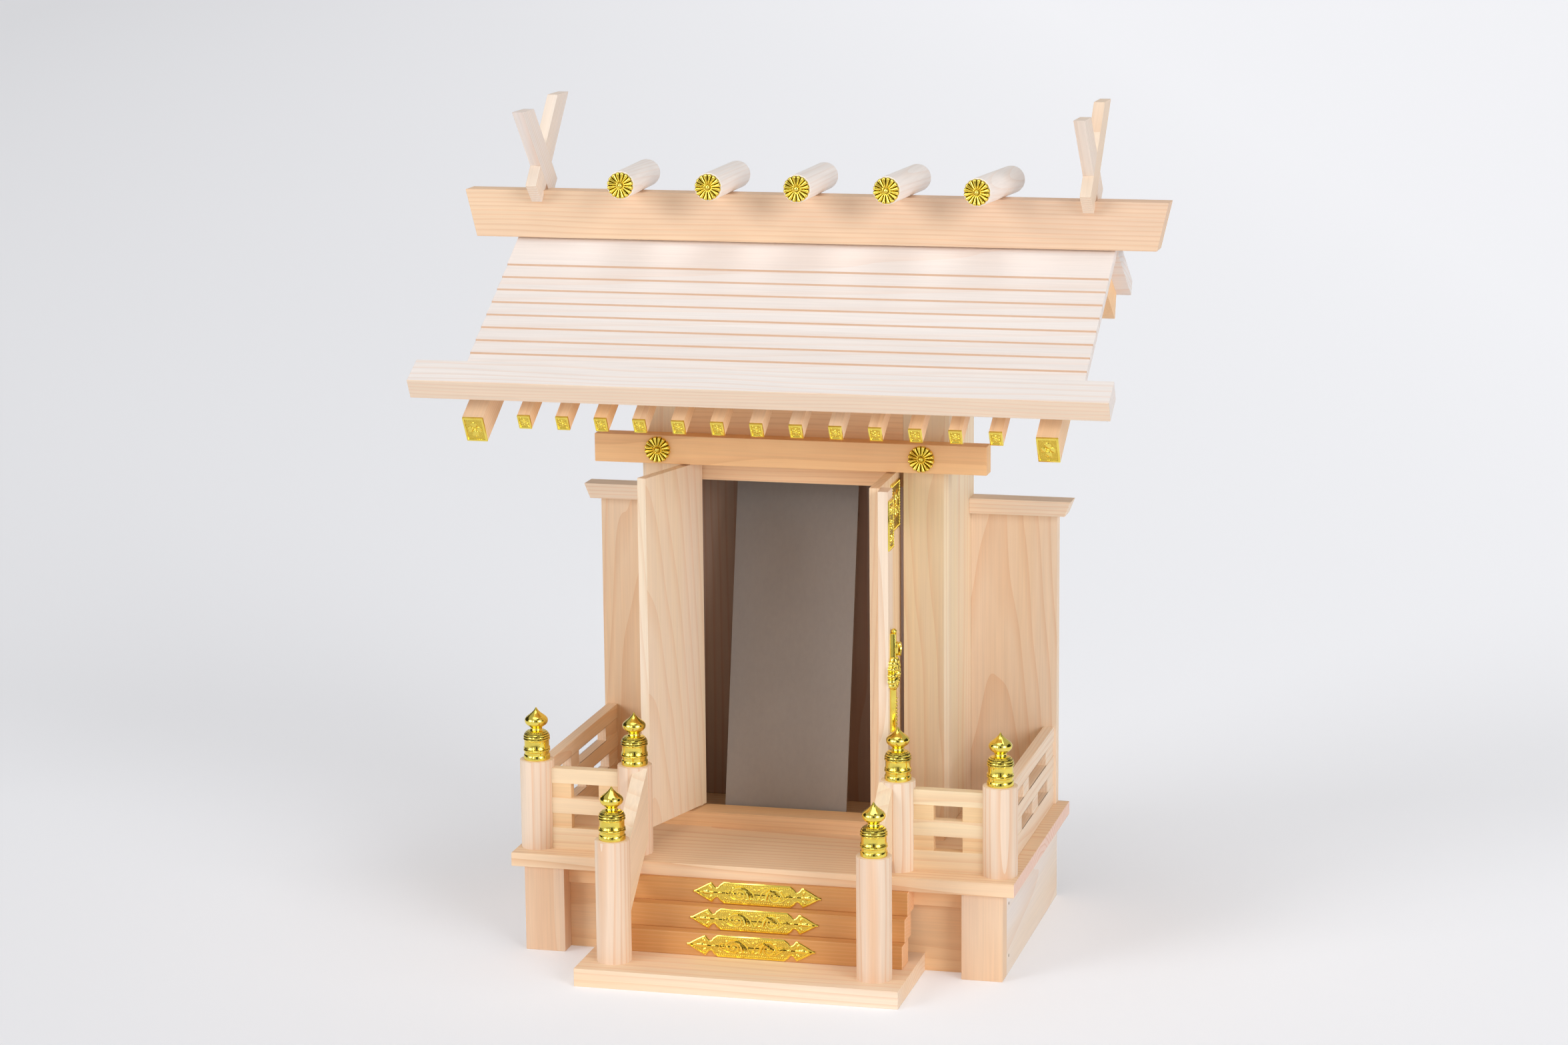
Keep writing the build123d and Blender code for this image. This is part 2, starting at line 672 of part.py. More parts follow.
def rafter(x, stop):
    top, low = rafter_end(roof_front - RAFTER_REACH, RAFTER_HEIGHT)
    drop = RAFTER_HEIGHT / math.cos(front_slope)
    outline = [top, low, (stop, front_under(stop) - drop), (stop, front_under(stop))]
    return board_x(outline, x - RAFTER_WIDTH / 2, x + RAFTER_WIDTH / 2)


def gable_rafter():
    """Heavy rafter under each end of the roof: a long front leg and a short rear leg."""
    top, low = rafter_end(roof_front - GABLE_RAFTER_REACH, GABLE_RAFTER_HEIGHT)
    front_leg = GABLE_RAFTER_HEIGHT / math.cos(front_slope)
    rear_leg = GABLE_REAR_HEIGHT / math.cos(rear_slope)
    stop = roof_back - GABLE_REAR_STOP
    heel = stop - GABLE_REAR_CUT
    outline = [top, low, (apex_y, front_under(apex_y) - front_leg), (heel, rear_under(heel) - rear_leg),
               (stop, rear_under(stop)), valley]
    return board_x(outline, gable_x - GABLE_RAFTER_WIDTH / 2, gable_x + GABLE_RAFTER_WIDTH / 2)


def end_cap(x, reach, height, width):
    """Gold plate on the front end of a rafter."""
    top, low = rafter_end(roof_front - reach, height)
    out = (-END_CAP_THICK * math.cos(front_slope), -END_CAP_THICK * math.sin(front_slope))
    outline = [top, low, (low[0] + out[0], low[1] + out[1]), (top[0] + out[0], top[1] + out[1])]
    return board_x(outline, x - width / 2, x + width / 2)


rafters = []
rafter_caps = []
for number in range(RAFTER_COUNT):
    x = (number - (RAFTER_COUNT - 1) / 2) * RAFTER_SPACING
    meets_body = abs(x) - RAFTER_WIDTH / 2 < body_half
    rafters.append(rafter(x, body_front if meets_body else apex_y - RAFTER_STOP))
    rafter_caps.append(end_cap(x, RAFTER_REACH, RAFTER_HEIGHT, RAFTER_WIDTH))
save("rafters", rafters)
save("rafter_caps", rafter_caps)
save("end_rafters", pair(gable_rafter()))
save("end_rafter_caps", pair(end_cap(gable_x, GABLE_RAFTER_REACH, GABLE_RAFTER_HEIGHT, GABLE_RAFTER_WIDTH)))

# Ridge beam, wider at its upper edge, with the logs bedded in it
ridge_half = roof_half + RIDGE_OVERHANG
ridge_outline = [(-ridge_half, ridge_low), (ridge_half, ridge_low),
                 (ridge_half + RIDGE_FLARE, ridge_top), (-ridge_half - RIDGE_FLARE, ridge_top)]
ridge = board_y(ridge_outline, ridge_front, ridge_front + RIDGE_THICK)
ridge = largest(ridge - front_roof - rear_roof)
log_front = ridge_front - LOG_REACH
log_z = ridge_top + LOG_DIAMETER / 2 - LOG_BED


def log():
    """Round log lying from front to back, with its back end rounded."""
    radius = LOG_DIAMETER / 2
    rim = [(0, 0), (radius, 0), (radius, LOG_LENGTH - LOG_ROUND)]
    for share in (0.5, 1.0):
        turn = share * math.pi / 2
        rim.append((radius - LOG_ROUND * (1 - math.cos(turn)), LOG_LENGTH - LOG_ROUND * (1 - math.sin(turn))))
    rim.append((0, LOG_LENGTH))
    return Rot(-90, 0, 0) * revolve(Plane.XZ * Polygon(*rim, align=None), Axis.Z)


log_places = []
for number, turn in enumerate(LOG_TURNS):
    x = (number - (len(LOG_TURNS) - 1) / 2) * LOG_SPACING
    log_places.append(Pos(x, log_front, log_z) * Rot(0, 0, turn))
logs = [place * log() for place in log_places]
for piece in logs:
    ridge -= piece
save("ridge_beam", ridge)
save("ridge_logs", logs)
save("log_caps", [place * rosette() for place in log_places])

# Crossed finials at both ends of the ridge
cross_y = ridge_middle - CROSS_SHIFT
cross_z = ridge_top + CROSS_RISE
cross_turn = math.radians(CROSS_ANGLE)


def bar_outline(lean_back, rise):
    """Side outline of a bar that leans to the back (1) or to the front (-1)."""
    run = lean_back * math.cos(cross_turn)
    climb = math.sin(cross_turn)
    half = BAR_WIDTH / 2

    def at(along, across):
        return (cross_y + run * along - climb * across, cross_z + climb * along + run * across)

    upper = (rise - half * run) / climb
    lower = (rise + half * run) / climb
    return [at(-BAR_TAIL, -half), at(-BAR_TAIL, half), at(upper, half), at(lower, -half)]


front_outline = bar_outline(-1, FRONT_BAR_RISE)
rear_outline = bar_outline(1, REAR_BAR_RISE)
outer_x = cross_x + BAR_THICK / 2
inner_cut = cross_x - BAR_THICK / 2
front_bar = board_x(front_outline, inner_cut, outer_x) - board_x(rear_outline, cross_x, outer_x)
rear_bar = board_x(rear_outline, inner_cut, outer_x) - board_x(front_outline, inner_cut, cross_x)
save("chigi_front_bars", pair(largest(front_bar - ridge)))
save("chigi_rear_bars", pair(largest(rear_bar - ridge)))

# Talisman, standing a little left of the middle
card = block(-CARD_WIDTH / 2, CARD_WIDTH / 2, 0, CARD_THICK, 0, CARD_LENGTH)
card_low = deck_top + CARD_THICK * math.sin(lean)
save("talisman", Pos(-CARD_SHIFT, card_foot, card_low) * Rot(-CARD_LEAN, 0, 0) * card)
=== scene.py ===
import math

import bmesh
import bpy
from bpy.props import FloatProperty, FloatVectorProperty, IntProperty, PointerProperty
from mathutils import Matrix, Vector


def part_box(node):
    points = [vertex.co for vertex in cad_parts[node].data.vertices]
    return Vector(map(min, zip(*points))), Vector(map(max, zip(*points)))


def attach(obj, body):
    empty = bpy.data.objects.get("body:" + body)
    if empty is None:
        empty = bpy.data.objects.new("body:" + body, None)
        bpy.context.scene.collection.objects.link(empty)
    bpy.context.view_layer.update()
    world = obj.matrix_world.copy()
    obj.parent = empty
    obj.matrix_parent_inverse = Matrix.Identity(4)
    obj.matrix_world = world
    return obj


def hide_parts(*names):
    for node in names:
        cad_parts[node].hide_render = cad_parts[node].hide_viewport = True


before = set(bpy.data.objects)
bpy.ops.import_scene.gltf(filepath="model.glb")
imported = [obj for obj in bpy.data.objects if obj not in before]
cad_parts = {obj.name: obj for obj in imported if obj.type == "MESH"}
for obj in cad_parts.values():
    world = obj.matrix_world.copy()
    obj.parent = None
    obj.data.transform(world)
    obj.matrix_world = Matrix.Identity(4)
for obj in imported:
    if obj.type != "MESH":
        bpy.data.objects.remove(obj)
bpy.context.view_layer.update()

bl_info = {
    "name": "House Altar",
    "version": (1, 0, 0),
    "blender": (4, 5, 0),
    "location": "View3D > Sidebar > Altar",
    "description": "Cypress house altar with turned and pressed gold fittings",
    "category": "Object",
}

# Lengths are written in millimetres and put into the frame in metres.
MM = 0.001
# The front face of the front legs lies this far in front of the middle of the footprint.
CENTRE = 63.46

# Places, sizes and angles taken over from the solids. They are in the maker's drawing frame, where
# the front face of the legs is at y = 0.
BASE_TOP = 9.6
DECK_TOP = 54.2
PANEL_FACE = 130.0
NAIL_LINE = 16.6
NAIL_HEIGHTS = (38.0, 9.5)
CORNER_X = 126.0
INNER_X = 71.62
FOOT_X = 69.82
RAIL_LINE = 13.4
FOOT_LINE = -35.8
NEWEL_TOP = 102.5
FOOT_NEWEL_TOP = 75.3
RAIL_TOPS = (65.7, 82.3)
RAIL_SPACE = 8.0
STEP_HALF = 81.02
STEP_FRONT = -19.7
STEP_GOING = 6.9
STEP_RISE = 12.4
HINGE_X = 55.02
LEAF_LINE = 82.52
LEAF_FRONT = 79.92
LEAF_TOP = 254.0
LOCK_Z = 156.0
STRIP_FRONT = LEAF_FRONT - 6.0
RIGHT_OPEN = 91.2
BEAM_FRONT = 68.82
ROSETTE_X = 72.35
ROSETTE_Z = 262.5
ROOF_PITCH = 30.4
EAVE_TILT = 27.6
EAVE_FRONT = 78.28
RAFTER_COUNT = 13
RAFTER_SPACING = 20.9
END_RAFTER_X = 152.4
LOG_FRONT = 92.02
LOG_Z = 401.53
LOG_SPACING = 48.8
LOG_TURNS = (3.2, 0.7, 0.0, -2.8, -5.6)
BACK_WALL_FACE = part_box("body_back_wall")[0][1] / MM

RIGHT = (1.0, 0.0, 0.0)
DEEP = (0.0, 1.0, 0.0)
UP = (0.0, 0.0, 1.0)

# Each pair of newels: distance from the middle, line in depth, foot and top.
NEWELS = ((CORNER_X, RAIL_LINE, DECK_TOP, NEWEL_TOP), (INNER_X, RAIL_LINE, DECK_TOP, NEWEL_TOP),
          (FOOT_X, FOOT_LINE, BASE_TOP, FOOT_NEWEL_TOP))
# Square-cut front ends of the rafters: width, height, and the (y, z) of the upper edge.
RAFTER_END = (6.9, 8.6, 1.62, 290.996)
END_RAFTER_END = (11.4, 15.6, -1.18, 289.354)
CAP_THICK = 1.2
# Sawn steps of the front roof: place in depth of the first, their spacing and the place of the last.
ROOF_RISERS = (-26.84, 9.4, 38.96)


# Sizes and colours

class AltarWood(bpy.types.PropertyGroup):
    """Tones of the cypress and sizes of the turned pieces"""
    pale: FloatVectorProperty(name="Pale", description="Nearly white sapwood of the roof", subtype="COLOR",
                              default=(0.90, 0.83, 0.79), min=0.0, max=1.0)
    cream: FloatVectorProperty(name="Cream", description="Pale sapwood", subtype="COLOR",
                               default=(0.93, 0.76, 0.60), min=0.0, max=1.0)
    peach: FloatVectorProperty(name="Peach", description="Pinkish planed face", subtype="COLOR",
                               default=(0.94, 0.68, 0.45), min=0.0, max=1.0)
    tan: FloatVectorProperty(name="Tan", description="Warm heartwood", subtype="COLOR",
                             default=(1.0, 0.62, 0.31), min=0.0, max=1.0)
    amber: FloatVectorProperty(name="Amber", description="Deep heartwood of the stair", subtype="COLOR",
                               default=(0.68, 0.33, 0.11), min=0.0, max=1.0)
    straw: FloatVectorProperty(name="Straw", description="Yellowish planed face", subtype="COLOR",
                               default=(0.93, 0.75, 0.50), min=0.0, max=1.0)
    rose: FloatVectorProperty(name="Rose", description="Pinkish planed face of the posts", subtype="COLOR",
                              default=(0.83, 0.59, 0.43), min=0.0, max=1.0)
    ring: FloatVectorProperty(name="Latewood", description="Dark line of each growth ring", subtype="COLOR",
                              default=(0.78, 0.42, 0.20), min=0.0, max=1.0)
    eased_edge: FloatProperty(name="Eased edge", description="Width of the broken edges of the boards",
                              default=0.35 * MM, unit="LENGTH")
    newel_diameter: FloatProperty(name="Newel", description="Diameter of the round newel posts",
                                  default=18.4 * MM, unit="LENGTH")
    log_diameter: FloatProperty(name="Log", description="Diameter of the ridge logs",
                                default=15.0 * MM, unit="LENGTH")
    log_length: FloatProperty(name="Log length", description="Length of the ridge logs",
                              default=68.0 * MM, unit="LENGTH")


class AltarGold(bpy.types.PropertyGroup):
    """Finish and sizes of the gold fittings"""
    colour: FloatVectorProperty(name="Gold", description="Plated brass", subtype="COLOR",
                                default=(0.96, 0.78, 0.15), min=0.0, max=1.0)
    polish: FloatProperty(name="Roughness", description="Roughness of the plated surface",
                          default=0.10, min=0.0, max=1.0)
    petals: IntProperty(name="Petals", description="Petals of a chrysanthemum boss",
                        default=16, min=8, max=24)
    rosette_diameter: FloatProperty(name="Boss", description="Diameter of a chrysanthemum boss",
                                    default=14.4 * MM, unit="LENGTH")
    plate_length: FloatProperty(name="Step plate", description="Length of a plate on the stair",
                                default=69.2 * MM, unit="LENGTH")
    plate_height: FloatProperty(name="Step plate height", description="Height of a plate on the stair",
                                default=11.9 * MM, unit="LENGTH")


class AltarPaper(bpy.types.PropertyGroup):
    """Finish of the card; its paper colour is darkened as painted shade for the dim inside of the altar"""
    # Painted shade: the paper is set far darker than its own near-white, for the dim inside.
    colour: FloatVectorProperty(name="Paper", description="Unprinted paper of the card", subtype="COLOR",
                                default=(0.38, 0.34, 0.315), min=0.0, max=1.0)


class AltarStage(bpy.types.PropertyGroup):
    """Backdrop and camera"""
    backdrop: FloatVectorProperty(name="Backdrop", description="Pale studio floor", subtype="COLOR",
                                  default=(0.925, 0.935, 0.975), min=0.0, max=1.0)
    camera_place: FloatVectorProperty(name="Camera", description="Place of the camera", subtype="XYZ",
                                      default=(0.49244, -1.93429, 0.63182), unit="LENGTH")
    azimuth: FloatProperty(name="Azimuth", description="Turn of the camera to the left",
                           default=math.radians(14.32), subtype="ANGLE")
    elevation: FloatProperty(name="Elevation", description="Angle at which the camera looks down",
                             default=math.radians(11.48), subtype="ANGLE")
    roll: FloatProperty(name="Roll", description="Roll of the camera",
                        default=math.radians(-0.53), subtype="ANGLE")
    lens: FloatProperty(name="Lens", description="Focal length in millimetres on a 36 mm sensor",
                        default=87.77, min=1.0)


# Shaping helpers

def at(x, y, z):
    """Matrix that takes a piece drawn in millimetres to a point of the drawing frame."""
    return Matrix.Diagonal((MM, MM, MM, 1.0)) @ Matrix.Translation((x, y - CENTRE, z))


def turn(angle, axis):
    """Matrix of a turn in degrees."""
    return Matrix.Rotation(math.radians(angle), 4, axis)


def turned(outline, steps):
    """Solid turned on a lathe: (radius, height) points carried round the Z axis."""
    bm = bmesh.new()
    points = [bm.verts.new((radius, 0.0, height)) for radius, height in outline]
    edges = [bm.edges.new(pair) for pair in zip(points, points[1:])]
    bmesh.ops.spin(bm, geom=points + edges, cent=(0, 0, 0), axis=(0, 0, 1), dvec=(0, 0, 0),
                   angle=math.tau, steps=steps, use_merge=True)
    bmesh.ops.remove_doubles(bm, verts=bm.verts, dist=1e-4)
    bmesh.ops.recalc_face_normals(bm, faces=bm.faces)
    return bm


def polar(reach, angle, height):
    """Point at a distance and an angle in degrees from the Z axis."""
    return (reach * math.cos(math.radians(angle)), reach * math.sin(math.radians(angle)), height)


def moved(bm, way):
    """The same shape, moved."""
    bmesh.ops.translate(bm, vec=way, verts=bm.verts)
    return bm


def lift(bm, height):
    """The same shape, raised."""
    return moved(bm, (0, 0, height))


def slab(width, height, thick, ease):
    """Plate standing on z = 0, its upper edges eased."""
    bm = bmesh.new()
    bmesh.ops.create_cube(bm, size=1.0)
    bmesh.ops.scale(bm, vec=(width, height, thick), verts=bm.verts)
    lift(bm, thick / 2)
    top = [edge for edge in bm.edges if max(vert.co.z for vert in edge.verts) > thick * 0.9]
    bmesh.ops.bevel(bm, geom=top, offset=ease, affect="EDGES", segments=2, profile=0.5, material=-1)
    return bm


def framed(bm, rim, depth):
    """Sink the middle of the upper face inside a raised rim; the hollow gets the second finish."""
    top = max(bm.faces, key=lambda face: face.calc_center_median().z)
    bmesh.ops.inset_region(bm, faces=[top], thickness=rim, depth=0.0, use_even_offset=True)
    bmesh.ops.inset_region(bm, faces=[top], thickness=0.2, depth=-depth, use_even_offset=True)
    top.material_index = 1


def bead(radius, height, place, squash=(1.0, 1.0), angle=0.0, round_steps=8):
    """Low dome at a place, used for beads, petals and leaves."""
    bm = bmesh.new()
    bmesh.ops.create_uvsphere(bm, u_segments=round_steps, v_segments=6, radius=1.0)
    lower = [vert for vert in bm.verts if vert.co.z < -0.2]
    bmesh.ops.delete(bm, geom=lower, context="VERTS")
    bmesh.ops.scale(bm, vec=(radius * squash[0], radius * squash[1], height), verts=bm.verts)
    bmesh.ops.transform(bm, matrix=Matrix.Translation(place) @ turn(angle, "Z"), verts=bm.verts)
    return bm


def joined(parts):
    """One mesh from several shapes, which are used up."""
    whole = bmesh.new()
    for bm in parts:
        mesh = bpy.data.meshes.new("part")
        bm.to_mesh(mesh)
        bm.free()
        whole.from_mesh(mesh)
        bpy.data.meshes.remove(mesh)
    return whole


def repeated(bm, places):
    """Copies of one shape, each set at its own place."""
    mesh = bpy.data.meshes.new("pattern")
    bm.to_mesh(mesh)
    bm.free()
    whole = bmesh.new()
    for place in places:
        copy = mesh.copy()
        copy.transform(place)
        whole.from_mesh(copy)
        bpy.data.meshes.remove(copy)
    bpy.data.meshes.remove(mesh)
    return whole


def stem(points, thick, flatten, taper=0.5):
    """Scrolling stem: a smooth rod through (u, v) points, thinner at its far end, pressed flat."""
    curve = bpy.data.curves.new("stem", "CURVE")
    curve.dimensions = "3D"
    curve.bevel_depth = thick
    curve.bevel_resolution = 1
    curve.resolution_u = 4
    curve.use_fill_caps = True
    spline = curve.splines.new("NURBS")
    spline.points.add(len(points) - 1)
    for number, (u, v) in enumerate(points):
        spline.points[number].co = (u, v, 0.0, 1.0)
        spline.points[number].radius = 1.0 - (1.0 - taper) * number / (len(points) - 1)
    spline.order_u = 3
    spline.use_endpoint_u = True
    obj = bpy.data.objects.new("stem", curve)
    bpy.context.collection.objects.link(obj)
    bpy.context.view_layer.update()
    mesh = bpy.data.meshes.new_from_object(obj.evaluated_get(bpy.context.evaluated_depsgraph_get()))
    bm = bmesh.new()
    bm.from_mesh(mesh)
    bpy.data.objects.remove(obj)
    bpy.data.curves.remove(curve)
    bpy.data.meshes.remove(mesh)
    bmesh.ops.scale(bm, vec=(1, 1, flatten), verts=bm.verts)
    return bm


def curl(u, v, radius, start, turns, hand, steps=14):
    """Points of a spiral that winds inwards to a fifth of its radius."""
    points = []
    for number in range(steps + 1):
        share = number / steps
        angle = math.radians(start) + hand * share * turns * math.tau
        reach = radius * (1 - 0.8 * share)
        points.append((u + reach * math.cos(angle), v + reach * math.sin(angle)))
    return points


def make(name, bm, material, body, nodes=(), sharp=35.0):
    """Put a finished shape into the scene, smooth but for its sharp edges.

    material is one finish, or a tuple of those that the faces' indices count."""
    limit = math.radians(sharp)
    for face in bm.faces:
        face.smooth = True
    for edge in bm.edges:
        edge.smooth = len(edge.link_faces) == 2 and edge.calc_face_angle(0.0) < limit
    mesh = bpy.data.meshes.new(name)
    bm.to_mesh(mesh)
    bm.free()
    for finish in material if isinstance(material, tuple) else (material,):
        mesh.materials.append(finish)
    obj = bpy.data.objects.new(name, mesh)
    bpy.context.collection.objects.link(obj)
    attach(obj, body)
    if nodes:
        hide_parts(*nodes)


# Finishes

def shader(name):
    """New material, its node tree and its principled shader."""
    material = bpy.data.materials.new(name)
    material.use_nodes = True
    tree = material.node_tree
    return material, tree, tree.nodes["Principled BSDF"]


def add(tree, kind, **settings):
    """New node with its settings."""
    node = tree.nodes.new(kind)
    for key, value in settings.items():
        setattr(node, key, value)
    return node


def feed(tree, node, *values):
    """Fill a node's inputs in order, each from a socket or with a fixed value."""
    for socket, value in zip(node.inputs, values):
        if isinstance(value, bpy.types.NodeSocket):
            tree.links.new(value, socket)
        else:
            socket.default_value = value
    return node


def sum_of(tree, operation, *values):
    """Result of a Math node."""
    return feed(tree, add(tree, "ShaderNodeMath", operation=operation), *values).outputs[0]


def along_axis(tree, coords, direction):
    """How far the coordinates reach along a direction."""
    node = feed(tree, add(tree, "ShaderNodeVectorMath", operation="DOT_PRODUCT"), coords, direction)
    return node.outputs["Value"]


def object_coords(tree):
    """Coordinates that stay with the piece."""
    return add(tree, "ShaderNodeTexCoord").outputs["Object"]


def mapped(tree, source, location=(0, 0, 0), rotation=(0, 0, 0), scale=(1, 1, 1)):
    """Coordinates moved, turned and stretched."""
    node = add(tree, "ShaderNodeMapping")
    node.inputs["Location"].default_value = location
    node.inputs["Rotation"].default_value = rotation
    node.inputs["Scale"].default_value = scale
    tree.links.new(source, node.inputs["Vector"])
    return node.outputs["Vector"]


def noise(tree, vector, scale, detail=2.0, rough=0.5):
    """Noise node; outputs[0] is its grey value."""
    node = add(tree, "ShaderNodeTexNoise")
    node.inputs["Scale"].default_value = scale
    node.inputs["Detail"].default_value = detail
    node.inputs["Roughness"].default_value = rough
    tree.links.new(vector, node.inputs["Vector"])
    return node


def ramp(tree, factor, stops):
    """Grey band through (place, brightness) stops."""
    node = add(tree, "ShaderNodeValToRGB")
    band = node.color_ramp
    while len(band.elements) < len(stops):
        band.elements.new(0.5)
    for element, (place, brightness) in zip(band.elements, stops):
        element.position = place
        element.color = (brightness, brightness, brightness, 1.0)
    tree.links.new(factor, node.inputs["Fac"])
    return node.outputs["Color"]


def blended(tree, factor, first, second, way="MIX"):
    """Colour mix; a colour or a socket may be given for either side."""
    node = add(tree, "ShaderNodeMix", data_type="RGBA", blend_type=way)
    for socket, value in ((node.inputs[0], factor), (node.inputs[6], first), (node.inputs[7], second)):
        if isinstance(value, bpy.types.NodeSocket):
            tree.links.new(value, socket)
        elif isinstance(value, float):
            socket.default_value = value
        else:
            socket.default_value = (*value, 1.0)
    return node.outputs[2]


def grey(tree, factor, low, high):
    """Grey that rises or falls between two (place, brightness) stops."""
    return ramp(tree, factor, (low, high))


def coated(tree, principled, colour, rough, metallic=0.0, specular=0.5):
    """Give a shader its colour and its sheen."""
    tree.links.new(colour, principled.inputs["Base Color"])
    tree.links.new(rough, principled.inputs["Roughness"])
    principled.inputs["Metallic"].default_value = metallic
    principled.inputs["Specular IOR Level"].default_value = specular


def embossed(tree, principled, height, strength, depth, invert=False):
    """Give a shader a fine relief, its depth in millimetres."""
    bump = add(tree, "ShaderNodeBump", invert=invert)
    bump.inputs["Strength"].default_value = strength
    bump.inputs["Distance"].default_value = depth * MM
    tree.links.new(height, bump.inputs["Height"])
    tree.links.new(bump.outputs[0], principled.inputs["Normal"])


def darker(colour, *shares):
    """Colour with each of its parts scaled."""
    return tuple(part * share for part, share in zip(colour, shares))


# Turns that lay the grain along the Z axis.
GRAIN = {"across": (0.0, -90.0, 0.0), "deep": (90.0, 0.0, 0.0), "upright": (0.0, 0.0, 0.0)}
# The pieces of a pair are cut from one log, this far along it on either side, in metres.
PAIR_SHIFT = 0.31
# How far the growth rings wander, in metres.
RING_DRIFT = 0.0085


def paired(tree, coords, fold):
    """Coordinates of a mirrored pair, counted from the middle of each piece."""
    split = feed(tree, add(tree, "ShaderNodeSeparateXYZ"), coords)
    x, y, z = split.outputs
    outwards = sum_of(tree, "SUBTRACT", sum_of(tree, "ABSOLUTE", x), fold * MM)
    height = sum_of(tree, "MULTIPLY_ADD", sum_of(tree, "SIGN", x), PAIR_SHIFT, z)
    return feed(tree, add(tree, "ShaderNodeCombineXYZ"), outwards, y, height).outputs[0]


def growth_rings(tree, along, pith, lean, spacing):
    """Latewood round the pith, 0 to 1; it wanders more slowly along the grain than across it."""
    centred = mapped(tree, along, location=(-pith[0] * MM, -pith[1] * MM, 0.0),
                     rotation=(math.radians(lean[0]), math.radians(lean[1]), 0.0))
    drift = noise(tree, mapped(tree, along, scale=(1.0, 1.0, 0.14)), 26.0)
    push = feed(tree, add(tree, "ShaderNodeVectorMath", operation="MULTIPLY_ADD"),
                drift.outputs["Color"], (RING_DRIFT, RING_DRIFT, 0.0), centred)
    ring = add(tree, "ShaderNodeTexWave", wave_type="RINGS", rings_direction="Z", wave_profile="SAW")
    ring.inputs["Scale"].default_value = math.pi / 10 / (spacing * MM)
    ring.inputs["Distortion"].default_value = 3.0
    ring.inputs["Detail"].default_value = 1.0
    ring.inputs["Detail Scale"].default_value = 0.05
    tree.links.new(push.outputs[0], ring.inputs["Vector"])
    return grey(tree, ring.outputs[1], (0.60, 0.0), (0.98, 1.0))


def sawn_lines_and_step_shadows(tree, coords, risers):
    """Lines at the sawn steps of a roof board, 0 to 0.75: partly the darker sawn face, partly painted shadow
    under each step.
    """
    first, going, last = risers
    depth = along_axis(tree, coords, DEEP)
    phase = sum_of(tree, "MULTIPLY_ADD", depth, 1 / (going * MM), 0.5 - first / going)
    line = ramp(tree, sum_of(tree, "FRACT", phase), ((0.47, 0.0), (0.49, 0.75), (0.51, 0.75), (0.53, 0.0)))
    return sum_of(tree, "MULTIPLY", line, sum_of(tree, "LESS_THAN", depth, (last + 2.0) * MM))


def toned(tree, coords, body, band):
    """Body colour with a face of another tone multiplied in: a cut face, or painted shade."""
    direction, low, high, tone = band
    reach = along_axis(tree, coords, direction)
    inside = sum_of(tree, "COMPARE", reach, (low + high) / 2 * MM, (high - low) / 2 * MM)
    return blended(tree, 1.0, body, blended(tree, inside, (1.0, 1.0, 1.0), tone), "MULTIPLY")


def hinoki(name, grain, light, dark, pith, spacing, lean=(0.0, 0.0), rings=0.34, fold=None, risers=None,
           bands=()):
    """Planed cypress cut from a log: growth rings round a pith line that runs along the grain.

    grain is across, deep, upright, or the angle of a sloping board in the YZ plane. pith is where
    the line passes, in millimetres, in the two directions across the grain. lean is the slope of
    the line in degrees, spacing the distance of the rings and rings their strength. fold is the
    distance of each piece of a mirrored pair from the middle, so that both get their own pith line.
    risers is the place of the first sawn step of a roof board, their spacing and the place of
    the last one: they get darker lines, partly the sawn face and partly painted shadow under
    each step. bands are faces of another tone, cut faces or painted shade: a direction, the two
    places along it between which they lie, and a colour that is multiplied in."""
    wood = bpy.context.scene.altar_wood
    material, tree, principled = shader(name)
    coords = object_coords(tree)
    if fold is not None:
        coords = paired(tree, coords, fold)
    angles = GRAIN[grain] if grain in GRAIN else (90.0 - grain, 0.0, 0.0)
    along = mapped(tree, coords, rotation=[math.radians(angle) for angle in angles])
    latewood = growth_rings(tree, along, pith, lean, spacing)
    fibre = noise(tree, mapped(tree, along, scale=(1.0, 1.0, 0.02)), 900.0, 3.0, 0.6).outputs[0]
    streak = noise(tree, mapped(tree, along, scale=(1.0, 1.0, 0.05)), 120.0).outputs[0]
    patch = noise(tree, mapped(tree, along, scale=(1.0, 1.0, 0.2)), 14.0).outputs[0]

    body = blended(tree, grey(tree, patch, (0.34, 0.0), (0.66, 1.0)), light, dark)
    body = blended(tree, grey(tree, streak, (0.45, 0.0), (0.75, 0.35)), body, dark)
    body = blended(tree, sum_of(tree, "MULTIPLY", latewood, rings), body, tuple(wood.ring))
    body = blended(tree, 1.0, body, grey(tree, fibre, (0.3, 0.94), (0.7, 1.03)), "MULTIPLY")
    if risers is not None:
        # Painted shadow under each roof step, mixed with the darker sawn face.
        body = blended(tree, sawn_lines_and_step_shadows(tree, coords, risers), body, darker(wood.ring, 0.8, 0.8, 0.8))
    for band in bands:
        body = toned(tree, coords, body, band)
    coated(tree, principled, body, grey(tree, fibre, (0.3, 0.50), (0.7, 0.66)), specular=0.35)
    embossed(tree, principled, sum_of(tree, "MULTIPLY_ADD", latewood, -0.5, fibre), 0.25, 0.06)
    return material


